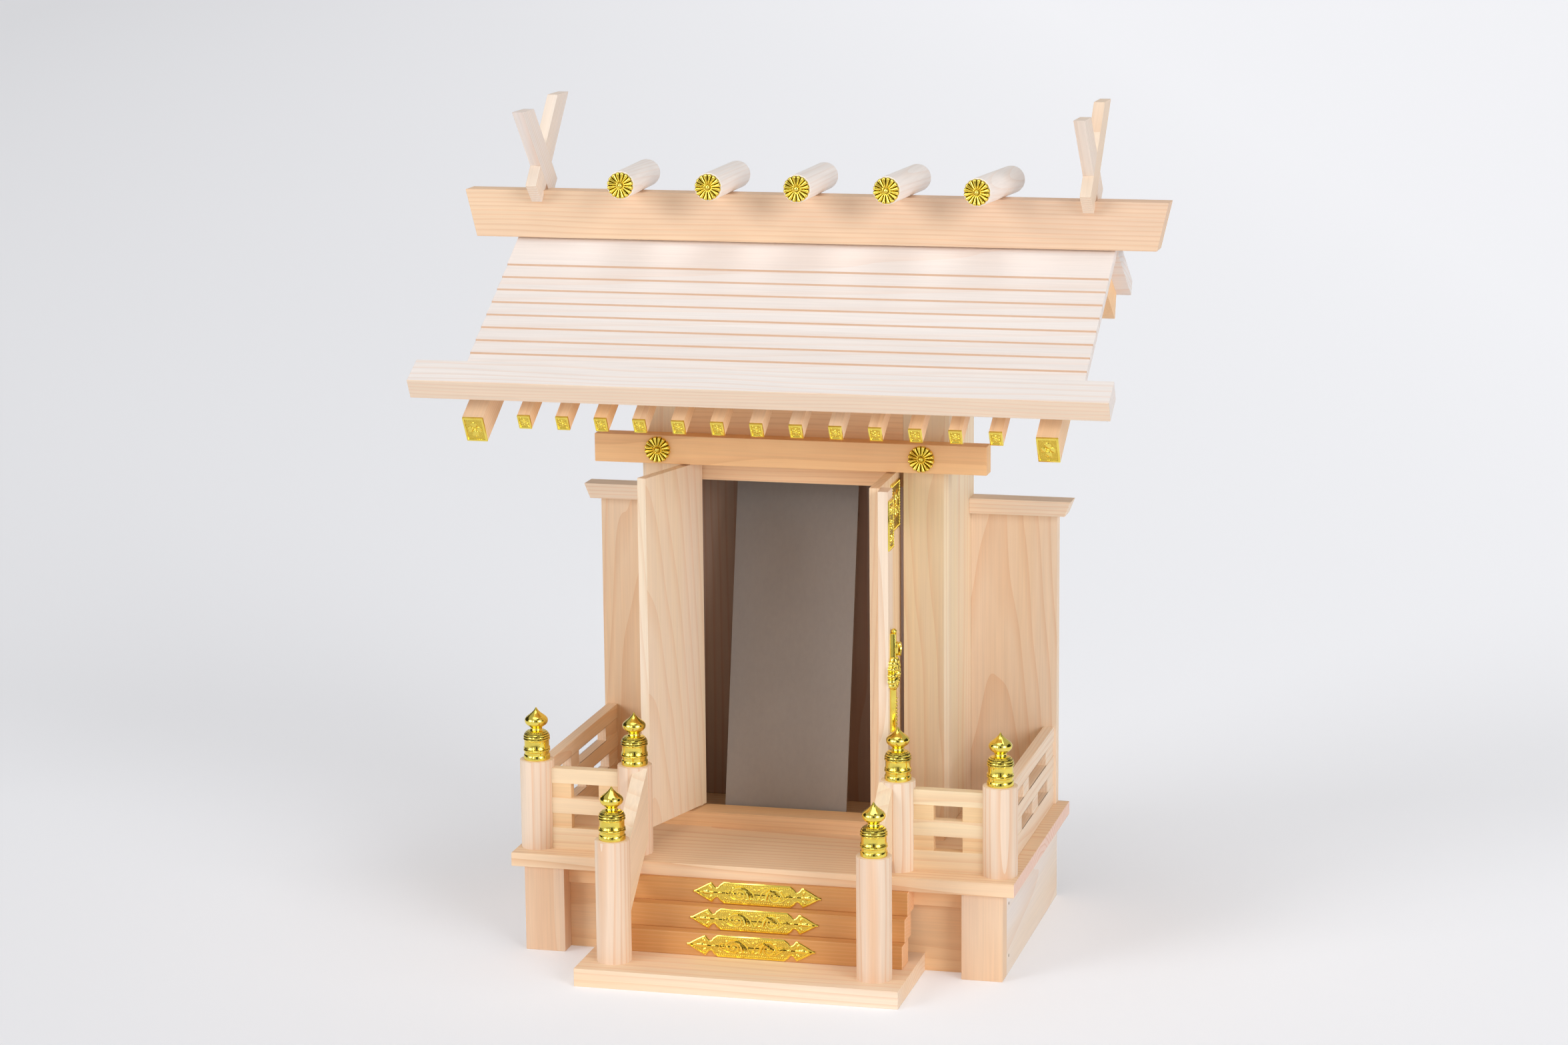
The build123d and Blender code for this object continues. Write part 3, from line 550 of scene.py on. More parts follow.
def gilt(name, dots=0.0, dark=0.3):
    """Bright plated brass; with dots, the dull ground of a hollow, punched at that spacing in millimetres.

    dark is how much light the punched dots still give back."""
    gold = bpy.context.scene.altar_gold
    material, tree, principled = shader(name)
    coords = object_coords(tree)
    wear = noise(tree, coords, 180.0, 3.0).outputs[0]
    bright = tuple(gold.colour)
    shade = darker(bright, 0.93, 0.88, 0.75)
    colour = blended(tree, grey(tree, wear, (0.35, 0.0), (0.7, 1.0)), bright, shade)
    if dots:
        punch = add(tree, "ShaderNodeTexVoronoi", feature="F1")
        punch.inputs["Scale"].default_value = 1 / (dots * MM)
        tree.links.new(coords, punch.inputs["Vector"])
        hollow = grey(tree, punch.outputs["Distance"], (0.15, 0.0), (0.55, 1.0))
        colour = blended(tree, hollow, colour, darker(bright, dark, dark * 0.9, dark * 0.7))
        rough = grey(tree, wear, (0.3, 0.24), (0.7, 0.36))
        embossed(tree, principled, punch.outputs["Distance"], 0.4, 0.25, invert=True)
    else:
        rough = grey(tree, wear, (0.3, gold.polish * 0.8), (0.75, gold.polish * 1.9))
    coated(tree, principled, colour, rough, metallic=1.0)
    return material


def steel(name):
    """Tarnished steel of the nails."""
    material, tree, principled = shader(name)
    tarnish = noise(tree, object_coords(tree), 900.0, 3.0).outputs[0]
    tone = blended(tree, grey(tree, tarnish, (0.3, 0.0), (0.7, 1.0)), (0.30, 0.22, 0.16), (0.52, 0.43, 0.34))
    coated(tree, principled, tone, grey(tree, tarnish, (0.3, 0.3), (0.7, 0.5)), metallic=1.0)
    return material


def paper(name):
    """Thick handmade paper with a soft fibre pattern; its colour carries painted shade."""
    material, tree, principled = shader(name)
    coords = object_coords(tree)
    fibres = noise(tree, mapped(tree, coords, scale=(1.0, 1.0, 0.5)), 420.0, 5.0, 0.65).outputs[0]
    clouds = noise(tree, coords, 22.0).outputs[0]
    colour = tuple(bpy.context.scene.altar_paper.colour)
    tone = blended(tree, grey(tree, fibres, (0.3, 0.0), (0.7, 1.0)), darker(colour, 0.93, 0.93, 0.93), colour)
    tone = blended(tree, 1.0, tone, grey(tree, clouds, (0.3, 0.95), (0.7, 1.0)), "MULTIPLY")
    coated(tree, principled, tone, grey(tree, fibres, (0.3, 0.78), (0.7, 0.9)), specular=0.25)
    embossed(tree, principled, fibres, 0.3, 0.05)
    return material


def dress(node, material, ease):
    """Give a solid its finish, with its sharp edges lightly broken."""
    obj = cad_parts[node]
    obj.data.materials.clear()
    obj.data.materials.append(material)
    weld = obj.modifiers.new("Closed seams", "WELD")
    weld.merge_threshold = 2e-6
    edge = obj.modifiers.new("Eased edges", "BEVEL")
    edge.width = ease
    edge.segments = 2
    edge.limit_method = "ANGLE"
    edge.angle_limit = math.radians(32)


# Boards and posts

# The sawn ends of the stair bars are paler than their fronts.
STEP_ENDS = ((RIGHT, STEP_HALF - 0.3, STEP_HALF + 9.0, (1.32, 1.55, 2.4)),)

# The blocks between the rails are warmer than the rails.
BLOCKS = tuple((UP, low, low + RAIL_SPACE, (0.97, 0.87, 0.74)) for low in RAIL_TOPS)
# The right end of the deck is paler than its top.
DECK_END = ((RIGHT, 136.3, 140.0, (1.0, 0.98, 1.22)),)
# Painted shade: the front face of the eave board is made warmer and darker than its top, standing in for the
# shade on it.
EAVE_SLOPE = (0.0, math.cos(math.radians(EAVE_TILT)), math.sin(math.radians(EAVE_TILT)))
EAVE_FRONT_SHADE = ((EAVE_SLOPE, -400.0, EAVE_FRONT, (0.98, 0.84, 0.68)),)
# Painted shade: the face of the back wall that looks into the altar is darkened, standing in for the dim
# light inside.
INSIDE_SHADE = ((DEEP, BACK_WALL_FACE - 1.0, BACK_WALL_FACE + 0.5, (0.54, 0.47, 0.52)),)

# node, grain, lighter tone, darker tone, then the settings of the wood
BOARDS = (
    ("base_board", "across", "peach", "cream", dict(pith=(70.0, -60.0), spacing=3.0, lean=(2.0, 0.5))),
    ("front_legs", "upright", "rose", "peach", dict(pith=(14.0, 150.0), spacing=2.4, fold=119.0)),
    ("base_side_panels", "deep", "pale", "cream",
     dict(pith=(60.0, -20.0), spacing=5.0, lean=(1.0, 2.0), rings=0.2)),
    ("recess_panel", "across", "peach", "tan", dict(pith=(-24.0, 40.0), spacing=2.2)),
    ("recess_rail", "across", "peach", "tan", dict(pith=(-41.0, 90.0), spacing=1.8)),
    ("base_back_panel", "across", "peach", "cream", dict(pith=(-20.0, -140.0), spacing=2.6, lean=(1.0, 0.0))),
    ("deck_board", "across", "peach", "peach",
     dict(pith=(-10.0, 10.0), spacing=3.4, lean=(1.5, 0.8), rings=0.55, bands=DECK_END)),
    ("step_lower", "across", "amber", "amber", dict(pith=(40.0, -50.0), spacing=2.0, bands=STEP_ENDS)),
    ("step_middle", "across", "amber", "amber", dict(pith=(60.0, -80.0), spacing=1.8, bands=STEP_ENDS)),
    ("step_upper", "across", "amber", "amber", dict(pith=(90.0, -60.0), spacing=1.7, bands=STEP_ENDS)),
    ("front_balustrades", "across", "straw", "peach",
     dict(pith=(-95.0, 60.0), spacing=1.7, bands=BLOCKS)),
    ("side_balustrades", "deep", "peach", "cream", dict(pith=(190.0, -60.0), spacing=1.6)),
    ("stair_banisters", 30.0, "straw", "cream",
     dict(pith=(0.0, 120.0), spacing=1.8, fold=66.6, rings=0.25)),
    ("front_roof", "across", "pale", "pale",
     dict(pith=(-260.0, 120.0), spacing=5.0, lean=(3.0, 1.0), rings=0.12, risers=ROOF_RISERS)),
    ("rear_roof", "across", "pale", "pale",
     dict(pith=(-250.0, 60.0), spacing=3.0, lean=(2.0, 1.0), rings=0.25)),
    ("eave_fascia", "across", "pale", "pale",
     dict(pith=(-240.0, 40.0), spacing=1.7, rings=0.22, bands=EAVE_FRONT_SHADE)),
    ("front_jambs", "upright", "straw", "cream",
     dict(pith=(20.0, 130.0), spacing=1.6, fold=72.0, rings=0.28)),
    ("body_side_walls", "upright", "straw", "cream", dict(pith=(-140.0, 40.0), spacing=2.6, fold=80.0)),
    ("body_back_wall", "upright", "straw", "cream",
     dict(pith=(20.0, 200.0), spacing=2.4, bands=INSIDE_SHADE)),
    ("door_sill", "across", "peach", "tan", dict(pith=(0.0, 60.0), spacing=2.2)),
    ("door_header", "across", "peach", "tan", dict(pith=(-200.0, 90.0), spacing=2.0)),
    ("left_door", "upright", "cream", "straw",
     dict(pith=(-84.0, -24.0), spacing=6.0, lean=(0.6, 6.0), rings=0.24)),
    ("right_door", "upright", "straw", "peach", dict(pith=(140.0, -30.0), spacing=2.8, lean=(0.6, -2.0))),
    ("door_astragal", "upright", "peach", "cream", dict(pith=(40.0, -160.0), spacing=2.0)),
    ("wing_walls", "upright", "peach", "cream",
     dict(pith=(-4.0, 170.0), spacing=2.2, lean=(1.0, 0.6), fold=106.0, rings=0.34)),
    ("wing_caps", "across", "peach", "cream", dict(pith=(-150.0, 60.0), spacing=2.0)),
    ("front_beam", "across", "tan", "tan", dict(pith=(-262.0, 90.0), spacing=1.7, rings=0.45)),
    ("rafters", ROOF_PITCH, "tan", "peach", dict(pith=(0.0, 60.0), spacing=2.0)),
    ("end_rafters", ROOF_PITCH, "tan", "peach", dict(pith=(0.0, 60.0), spacing=2.0, fold=END_RAFTER_X)),
    ("ridge_beam", "across", "rose", "peach", dict(pith=(-330.0, 20.0), spacing=1.8, rings=0.4)),
    ("chigi_front_bars", -47.0, "pale", "cream", dict(pith=(0.0, 60.0), spacing=1.8, fold=152.6)),
    ("chigi_rear_bars", 47.0, "pale", "cream", dict(pith=(0.0, 60.0), spacing=1.8, fold=152.6)),
)


class ALTAR_OT_boards(bpy.types.Operator):
    """Give every board of the altar its own cut of planed cypress"""
    bl_idname = "altar.boards"
    bl_label = "Finish the boards"

    def execute(self, context):
        wood = context.scene.altar_wood
        for node, grain, light, dark, cut in BOARDS:
            tones = tuple(getattr(wood, light)), tuple(getattr(wood, dark))
            dress(node, hinoki("wood_" + node, grain, *tones, **cut), wood.eased_edge)
        return {"FINISHED"}


class ALTAR_OT_newels(bpy.types.Operator):
    """Turn the six round newel posts"""
    bl_idname = "altar.newels"
    bl_label = "Newel posts"

    def execute(self, context):
        wood = context.scene.altar_wood
        radius = wood.newel_diameter / MM / 2
        material = hinoki("wood_newels", "upright", tuple(wood.rose), tuple(wood.cream),
                          pith=(30.0, 160.0), spacing=2.8, rings=0.5)
        ease = 0.5
        parts = []
        for x, y, low, top in NEWELS:
            height = top - low
            outline = [(0, 0), (radius, 0), (radius, height - ease),
                       (radius - ease * 0.3, height - ease * 0.3), (radius - ease, height), (0, height)]
            parts.append(repeated(turned(outline, 96), [at(side * x, y, low) for side in (-1, 1)]))
        make("newel_posts_turned", joined(parts), material, "altar", ["newel_posts"])
        return {"FINISHED"}


class ALTAR_OT_logs(bpy.types.Operator):
    """Turn the five logs that lie across the ridge"""
    bl_idname = "altar.logs"
    bl_label = "Ridge logs"

    def execute(self, context):
        wood = context.scene.altar_wood
        radius = wood.log_diameter / MM / 2
        length = wood.log_length / MM
        rounding = 5.0
        outline = [(0, 0), (radius - 0.3, 0), (radius, 0.3), (radius, length - rounding)]
        for number in range(1, 7):
            angle = number * math.pi / 12
            outline.append((radius - rounding * (1 - math.cos(angle)),
                            length - rounding * (1 - math.sin(angle))))
        outline.append((0, length))
        log = turned(outline, 96)
        bmesh.ops.transform(log, matrix=turn(-90, "X"), verts=log.verts)
        sapwood = tuple(min(1.0, part * 1.12) for part in wood.pale)
        material = hinoki("wood_logs", "deep", sapwood, sapwood,
                          pith=(20.0, -330.0), spacing=2.4, rings=0.14)
        make("ridge_logs_turned", repeated(log, log_places()), material, "altar", ["ridge_logs"])
        return {"FINISHED"}


def log_places():
    """Front ends of the logs, which lie a little askew."""
    return [at((number - 2) * LOG_SPACING, LOG_FRONT, LOG_Z) @ turn(angle, "Z")
            for number, angle in enumerate(LOG_TURNS)]


# Gold fittings

# Radius and height along the side of a finial.
FINIAL = ((0, 0), (6.9, 0), (7.05, 0.2), (7.05, 2.4), (6.9, 2.7), (6.6, 2.9), (6.6, 4.3),
          (6.85, 4.5), (7.15, 4.8), (7.15, 5.3), (6.9, 5.6), (6.7, 5.75), (6.95, 5.95), (7.1, 6.2),
          (7.0, 6.6), (6.7, 6.8), (6.6, 7.1), (6.6, 10.4), (6.75, 10.6), (7.1, 10.9), (7.15, 11.2),
          (6.95, 11.6), (6.7, 11.8), (7.05, 12.1), (7.1, 12.5), (6.9, 12.9), (6.6, 13.05), (6.75, 13.3),
          (6.7, 13.7), (6.45, 14.0), (6.1, 14.1), (6.1, 14.5), (5.9, 14.8), (5.4, 14.95), (5.3, 15.3),
          (4.9, 15.55), (4.3, 15.65), (3.6, 15.8), (3.3, 16.1), (3.1, 16.6), (3.1, 17.2), (3.4, 17.7),
          (4.2, 18.2), (5.2, 18.9), (5.9, 19.8), (6.2, 20.8), (6.2, 21.5), (5.95, 22.3), (5.35, 23.1),
          (4.4, 23.9), (3.3, 24.7), (2.3, 25.5), (1.5, 26.3), (0.9, 27.0), (0.45, 27.8), (0.2, 28.2),
          (0, 28.35))
# Heights between which its grooves lie.
FINIAL_GROOVES = ((5.55, 5.9), (11.55, 12.0), (12.9, 13.25), (14.0, 14.45), (15.0, 15.3))


class ALTAR_OT_finials(bpy.types.Operator):
    """Turn the onion finials that cap the newel posts"""
    bl_idname = "altar.finials"
    bl_label = "Onion finials"

    def execute(self, context):
        places = [at(side * x, y, top) for x, y, _, top in NEWELS for side in (-1, 1)]
        finial = turned(FINIAL, 72)
        for face in finial.faces:
            height = face.calc_center_median().z
            face.material_index = int(any(low < height < high for low, high in FINIAL_GROOVES))
        material = (gilt("gold_polished"), gilt("gold_grooves", 0.4, 0.12))
        make("onion_finials", repeated(finial, places), material,
             "altar", ["newel_finials"], sharp=32.0)
        return {"FINISHED"}


# A chrysanthemum boss is drawn at this radius, with these radii and heights over its face.
BOSS_RADIUS = 7.0
BOSS = ((0, 2.3), (0.5, 2.25), (0.95, 2.0), (1.25, 1.6), (1.4, 1.15), (1.6, 1.2), (1.9, 1.5), (2.5, 1.65),
        (3.2, 1.75), (4.0, 1.85), (4.8, 1.95), (5.4, 2.0), (5.9, 2.05), (6.25, 2.1), (6.55, 1.95), (6.8, 1.5),
        (6.95, 0.9), (BOSS_RADIUS, 0.0), (0, 0))


def from_petal(point, petals):
    """How far a point lies from the middle of its petal: 0 there, 1 in the valley beside it."""
    return abs((math.atan2(point.y, point.x) * petals / math.tau % 1.0) * 2 - 1)


def chrysanthemum(radius, petals):
    """Boss with rounded petals: a turned disc whose rim and face are pressed between the petals."""
    scale = radius / BOSS_RADIUS
    bm = turned([(reach * scale, height) for reach, height in BOSS], petals * 10)
    for vert in bm.verts:
        reach = vert.co.xy.length / scale
        if reach < 1.45 or vert.co.z < 0.05 and reach < 6.9:
            continue
        fall = 1 - math.sqrt(max(0.0, 1 - from_petal(vert.co, petals) ** 2))
        if vert.co.z > 0.05:
            vert.co.z -= min(vert.co.z * 0.85, 1.5 * fall * min(1.0, (reach - 1.0) / 2.2))
        vert.co.xy *= 1 - 0.09 * fall * max(0.0, (reach - 5.4) / 1.6)
    for face in bm.faces:
        middle = face.calc_center_median()
        reach = middle.xy.length / scale
        valley = from_petal(middle, petals) > 0.78 and reach > 2.2
        face.material_index = int(valley or 1.2 < reach < 1.7)
    return bm


class ALTAR_OT_rosettes(bpy.types.Operator):
    """Press the chrysanthemum bosses of the beam and the logs"""
    bl_idname = "altar.rosettes"
    bl_label = "Chrysanthemum bosses"

    def execute(self, context):
        gold = context.scene.altar_gold
        radius = gold.rosette_diameter / MM / 2
        facing = turn(90, "X")
        material = (gilt("gold_bosses"), gilt("gold_bosses_ground", 0.4, 0.16))
        beam = [at(side * ROSETTE_X, BEAM_FRONT, ROSETTE_Z) @ facing for side in (-1, 1)]
        make("beam_bosses", repeated(chrysanthemum(radius, gold.petals), beam), material,
             "altar", ["beam_rosettes"], sharp=60.0)
        logs = [place @ facing for place in log_places()]
        make("log_bosses", repeated(chrysanthemum(radius, gold.petals), logs), material,
             "altar", ["log_caps"], sharp=60.0)
        return {"FINISHED"}


def rafter_face(x, y, z, height):
    """Frame on the square-cut front end of a rafter: (y, z) is its upper edge."""
    outwards = at(x, y, z) @ turn(-ROOF_PITCH, "X").inverted() @ turn(90, "X")
    return outwards @ Matrix.Translation((0, -height / 2, 0))


class ALTAR_OT_rafter_caps(bpy.types.Operator):
    """Press the flowered caps on the ends of the rafters"""
    bl_idname = "altar.rafter_caps"
    bl_label = "Rafter caps"

    def execute(self, context):
        material = (gilt("gold_caps"), gilt("gold_caps_ground", 0.5, 0.75))
        width, height, y, z = RAFTER_END
        middle = (RAFTER_COUNT - 1) // 2
        places = [rafter_face((number - middle) * RAFTER_SPACING, y, z, height)
                  for number in range(RAFTER_COUNT)]
        make("rafter_caps_pressed", repeated(small_cap(width, height), places), material,
             "altar", ["rafter_caps"])
        width, height, y, z = END_RAFTER_END
        places = [rafter_face(side * END_RAFTER_X, y, z, height) for side in (-1, 1)]
        make("end_caps_pressed", repeated(large_cap(width, height), places), material,
             "altar", ["end_rafter_caps"])
        return {"FINISHED"}


def small_cap(width, height):
    """Cap with a flower of six petals and a leaf in each corner."""
    cap = slab(width, height, CAP_THICK, 0.15)
    framed(cap, 0.75, 0.35)
    ground = 0.85
    parts = [cap]
    for number in range(6):
        angle = number * 60 + 30
        parts.append(bead(1.0, 0.3, polar(1.35, angle, ground), (0.95, 0.62), angle))
    parts.append(bead(0.6, 0.42, (0, 0, ground)))
    for u in (-1, 1):
        for v in (-1, 1):
            parts.append(bead(0.75, 0.25, (u * 1.95, v * 2.75, ground), (1.0, 0.5), u * v * 45))
    return joined(parts)


def large_cap(width, height):
    """Cap with a flower of four notched petals and a sepal between each two."""
    cap = slab(width, height, CAP_THICK, 0.2)
    framed(cap, 0.8, 0.4)
    ground = 0.8
    core = 0.9
    parts = [cap]
    for angle, length in ((90, 3.9), (270, 3.9), (0, 3.0), (180, 3.0)):
        parts.append(bead(1.0, 0.5, polar(core + length / 2, angle, ground), (length / 2, 1.75), angle, 12))
        tip = (core + length) * 0.93 * 0.85
        for side in (-1, 1):
            parts.append(bead(0.95, 0.42, polar(tip, angle + side * 17, ground)))
    for angle in (45, 135, 225, 315):
        parts.append(bead(1.0, 0.35, polar(1.6, angle, ground), (0.9, 0.22), angle))
    parts.append(bead(0.75, 0.62, (0, 0, ground), round_steps=12))
    return joined(parts)


def bend(start, middle, finish, count=5):
    """Points of a smooth bend through three points, without its start."""
    points = []
    for number in range(1, count + 1):
        share = number / count
        weights = ((1 - share) * (1 - 2 * share), 4 * share * (1 - share), share * (2 * share - 1))
        corners = tuple(zip(weights, (start, middle, finish)))
        points.append(tuple(sum(weight * corner[axis] for weight, corner in corners) for axis in (0, 1)))
    return points


def plate_rim(length, height):
    """Outline of a stair plate: a straight middle, then a waist, two barbs and a point at each end."""
    half = height / 2
    shoulder = 17.9
    end = length / 2 - shoulder
    neck = (shoulder + end * 0.15, half * 0.70)
    waist = (shoulder + end * 0.25, half * 0.46)
    barb = (shoulder + end * 0.40, half * 0.92)
    cheek = (shoulder + end * 0.66, half * 0.56)
    root = (shoulder + end * 0.92, half * 0.13)
    quarter = [(shoulder, half), neck] + bend(neck, waist, barb) + bend(barb, cheek, root)
    quarter.append((shoulder + end, half * 0.10))
    right = quarter + [(u, -v) for u, v in reversed(quarter)]
    return right + [(-u, -v) for u, v in right]


def plate_blank(length, height):
    """Plate cut to its outline, with a raised rim round a ground of the second finish."""
    bm = bmesh.new()
    rim = [bm.verts.new((u, v, 0.0)) for u, v in plate_rim(length, height)]
    bmesh.ops.extrude_face_region(bm, geom=[bm.faces.new(rim)])
    raised = set(bm.verts) - set(rim)
    bmesh.ops.translate(bm, vec=(0, 0, 0.55), verts=list(raised))
    bmesh.ops.recalc_face_normals(bm, faces=bm.faces)
    top = max(bm.faces, key=lambda face: face.calc_area() if face.normal.z > 0.5 else 0)
    for width, rise in ((0.35, 0.2), (0.35, 0.0), (0.2, -0.32)):
        bmesh.ops.inset_region(bm, faces=[top], thickness=width, depth=rise, use_even_offset=True)
    top.material_index = 1
    return bm


# Leaves on the right half of a stair plate: place, angle and length.
LEAVES = ((3.0, -2.6, 20, 1.3), (5.6, -2.9, 165, 1.2), (12.6, 2.7, 25, 1.4), (9.4, -0.1, 0, 0.9),
          (17.0, -2.9, 40, 1.0), (6.0, 1.2, 60, 0.8), (15.6, 0.4, 0, 0.7), (1.2, 2.6, 60, 1.0),
          (3.0, 3.6, 10, 0.9), (12.9, -0.4, 80, 0.9))
# Leaves in its point: place, angle, length and how wide they are for their length.
POINT_LEAVES = ((20.4, 0.0, 0, 1.3, 0.5), (25.4, 2.6, 60, 1.6, 0.5), (25.4, -2.6, -60, 1.6, 0.5),
                (27.6, 0.0, 0, 2.4, 0.5), (24.6, 0.0, 0, 0.9, 1.0), (30.6, 0.0, 0, 1.0, 0.4))
# Painted dark reflections: strokes of the darkest finish beside the stems, standing in for the dark that the
# steep stems mirror.
DARK_REFLECTION_STROKES = ([(-8.4, 3.2), (-6.8, 3.2), (-5.0, 1.9)], [(-5.6, 1.4), (-3.6, 0.6), (-2.4, -1.3)],
           [(7.0, 3.1), (9.2, 2.4), (11.4, 0.2)])


def plate_half(side, ground):
    """Stems, scrolls, leaves and beads on one half of a stair plate."""
    wave = [(4.6, -2.6), (5.0, 0.6), (7.4, 3.2), (10.6, 3.5), (13.4, 1.6), (14.6, -1.0)]
    lead = [(0.4, -3.1), (1.6, -0.6), (3.4, 2.0), (6.0, 3.3)]
    tail = [(10.4, -3.2), (12.2, -3.4), (14.0, -2.6)]
    wave, lead, tail = ([(side * u, v) for u, v in points] for points in (wave, lead, tail))
    scroll = curl(side * 9.4, -0.4, 3.5, 90 - side * 105, 1.35, -side)
    tail += curl(side * 15.6, 0.4, 2.2, 90 + side * 100, 1.2, side, 12)[2:]
    parts = [lift(stem(wave, 1.05, 0.95, 0.45), ground), lift(stem(lead, 0.6, 0.85), ground),
             lift(stem(scroll, 0.62, 0.85, 0.6), ground), lift(stem(tail, 0.5, 0.85), ground)]
    for u, v, angle, length in LEAVES:
        parts.append(bead(length, 0.42, (side * u, v, ground), (1.0, 0.5), side * angle))
    for u, v, angle, length, wide in POINT_LEAVES:
        parts.append(bead(length, 0.45, (side * u, v, ground), (1.0, wide), side * angle))
    for number in range(7):
        share = number / 6
        for v in (-1, 1):
            place = (side * (24.6 + 7.2 * share), v * (4.2 - 3.2 * share), ground)
            parts.append(bead(0.26, 0.25, place, round_steps=6))
    return parts


def stair_plate():
    """Stair plate with a raised rim, a beaded line, scrolls that meet in the middle, leaves, and strokes of
    painted dark reflection beside the stems.
    """
    gold = bpy.context.scene.altar_gold
    parts = [plate_blank(gold.plate_length / MM, gold.plate_height / MM)]
    ground = 0.42
    beads, reach = 33, 18.2
    for number in range(beads):
        u = -reach + number * 2 * reach / (beads - 1)
        for v in (-4.35, 4.35):
            parts.append(bead(0.34, 0.3, (u, v, ground), round_steps=6))
    for side in (-1, 1):
        parts += plate_half(side, ground)
    # Painted dark reflections: near-black strokes and two spots beside the stems.
    painted_reflections = joined([lift(stem(points, 0.6, 0.9, 0.6), ground + 0.5) for points in DARK_REFLECTION_STROKES]
                     + [bead(0.7, 0.9, (u, 0.4, ground)) for u in (-14.6, 17.6)])
    for face in painted_reflections.faces:
        face.material_index = 2
    return joined(parts + [painted_reflections])


class ALTAR_OT_step_plates(bpy.types.Operator):
    """Press the arabesque plates on the risers of the stair"""
    bl_idname = "altar.step_plates"
    bl_label = "Stair plates"

    def execute(self, context):
        facing = turn(90, "X")
        places = [at(0, STEP_FRONT + STEP_GOING * number, BASE_TOP + STEP_RISE * (number + 0.5)) @ facing
                  for number in range(3)]
        # The third finish is nearly black: painted dark reflection beside the stems.
        material = (gilt("gold_stair_plates"), gilt("gold_stair_ground", 0.55, 0.7),
                    gilt("gold_stair_hollows", 0.4, 0.06))
        make("stair_plates_pressed", repeated(stair_plate(), places), material,
             "altar", ["step_plates"], sharp=50.0)
        return {"FINISHED"}


def swung():
    """Place of the right leaf in the open pose, for pieces drawn on it closed."""
    return at(HINGE_X, LEAF_LINE, 0) @ turn(RIGHT_OPEN, "Z") @ Matrix.Translation((-HINGE_X, -LEAF_LINE, 0))


def relief_plate(width, height):
    """Small door plate with a beaded edge and scrolls round a flower."""
    bm = slab(width, height, 0.8, 0.15)
    framed(bm, 0.5, 0.3)
    parts = [bm]
    ground = 0.5
    inner_width, inner_height = width - 2.4, height - 2.4
    across = int(inner_width / 1.4)
    up = int(inner_height / 1.4)
    line = [(-inner_width / 2 + inner_width * number / across, side * inner_height / 2)
            for number in range(across + 1) for side in (-1, 1)]
    line += [(side * inner_width / 2, -inner_height / 2 + inner_height * number / up)
             for number in range(1, up) for side in (-1, 1)]
    parts += [bead(0.5, 0.7, (u, v, ground), round_steps=6) for u, v in line]
    reach = min(width, height) / 2 - 2.4
    for side in (-1, 1):
        middle = side * (height / 2 - 2.2 - reach * 0.8)
        for hand in (-1, 1):
            scroll = curl(hand * reach * 0.45, middle, reach * 0.55, 90 - hand * 90, 1.3, hand)
            parts.append(lift(stem(scroll, 0.6, 0.9), ground))
        parts.append(bead(1.3, 0.9, (0, middle - side * 1.2, ground), (0.6, 1.6)))
    for number in range(8):
        angle = number * 45
        parts.append(bead(1.2, 0.9, polar(1.7, angle, ground), (1.0, 0.55), angle))
    parts.append(bead(0.9, 1.3, (0, 0, ground), round_steps=10))
    return joined(parts)


class ALTAR_OT_door_plates(bpy.types.Operator):
    """Press the two plates on the right door leaf"""
    bl_idname = "altar.door_plates"
    bl_label = "Door plates"

    def execute(self, context):
        # Width and height of a plate, its place across and in depth, and how far under the leaf's top.
        plates = ((12.0, 26.5, 0.0, STRIP_FRONT, 5.5), (22.0, 26.0, HINGE_X - 14.0, LEAF_FRONT, 4.0))
        parts = []
        for width, height, x, y, drop in plates:
            facing = Matrix.Translation((x, y, LEAF_TOP - drop - height / 2)) @ turn(90, "X")
            parts.append(repeated(relief_plate(width, height), [swung() @ facing]))
        material = (gilt("gold_door_plates"), gilt("gold_door_ground", 0.55))
        make("door_plates_pressed", joined(parts), material,
             "right_leaf", ["right_door_plates"], sharp=50.0)
        return {"FINISHED"}


def lock_crest():
    """Round crest of the lock: a boss, eight petals and a lobed rim."""
    crest = turned([(0, 5.4), (0.7, 5.3), (1.2, 4.9), (1.6, 4.2), (1.9, 3.6), (2.6, 3.9), (3.6, 4.1),
                    (4.6, 4.0), (5.5, 3.5), (6.1, 3.1), (6.9, 3.5), (7.8, 3.8), (8.5, 3.5), (9.0, 2.7),
                    (9.2, 1.6), (8.8, 0.0), (0, 0)], 144)
    for vert in crest.verts:
        reach = math.hypot(vert.co.x, vert.co.y)
        angle = math.atan2(vert.co.y, vert.co.x)
        if reach > 7.2:
            vert.co.xy *= 1 - 0.2 * (1 - abs(math.cos(angle * 7)))
        elif 1.9 < reach < 5.8 and vert.co.z > 1.0:
            vert.co.z -= 1.2 * (1 - abs(math.cos(angle * 4)))
    return crest


def lock():
    """Lock drawn on its own: the crest, its bar, a row of beads, a pin on top, a double hook and its eye."""
    parts = [lock_crest()]
    for number in range(26):
        parts.append(bead(0.6, 0.8, polar(6.5, number * 360 / 26, 3.0)))
    parts.append(moved(slab(4.4, 53.4, 3.0, 0.5), (0, -5.3, 0)))
    for number in range(8):
        parts.append(bead(1.0, 0.7, (0.0, -13.6 - 2.0 * number, 2.9), (1.2, 0.7)))
    pin = turned([(0, 0), (1.0, 0), (1.5, 0.5), (1.6, 1.2), (1.3, 1.9), (0.7, 2.4), (0, 2.6)], 24)
    parts.append(repeated(pin, [Matrix.Translation((0.0, 21.3, 1.7)) @ turn(-90, "X")]))
    for reach, rise in ((3.6, 4.6), (4.6, 3.2)):
        hook = [(0.6, 9.6), (2.4, 11.0), (reach, 13.6), (2.0, 16.4), (0.2, 15.0), (1.2, 13.6)]
        parts.append(lift(stem(hook, 0.8, 1.0, 0.75), rise))
    parts.append(moved(slab(4.4, 5.4, 1.4, 0.4), (0, 13.4, 2.8)))
    return joined(parts)


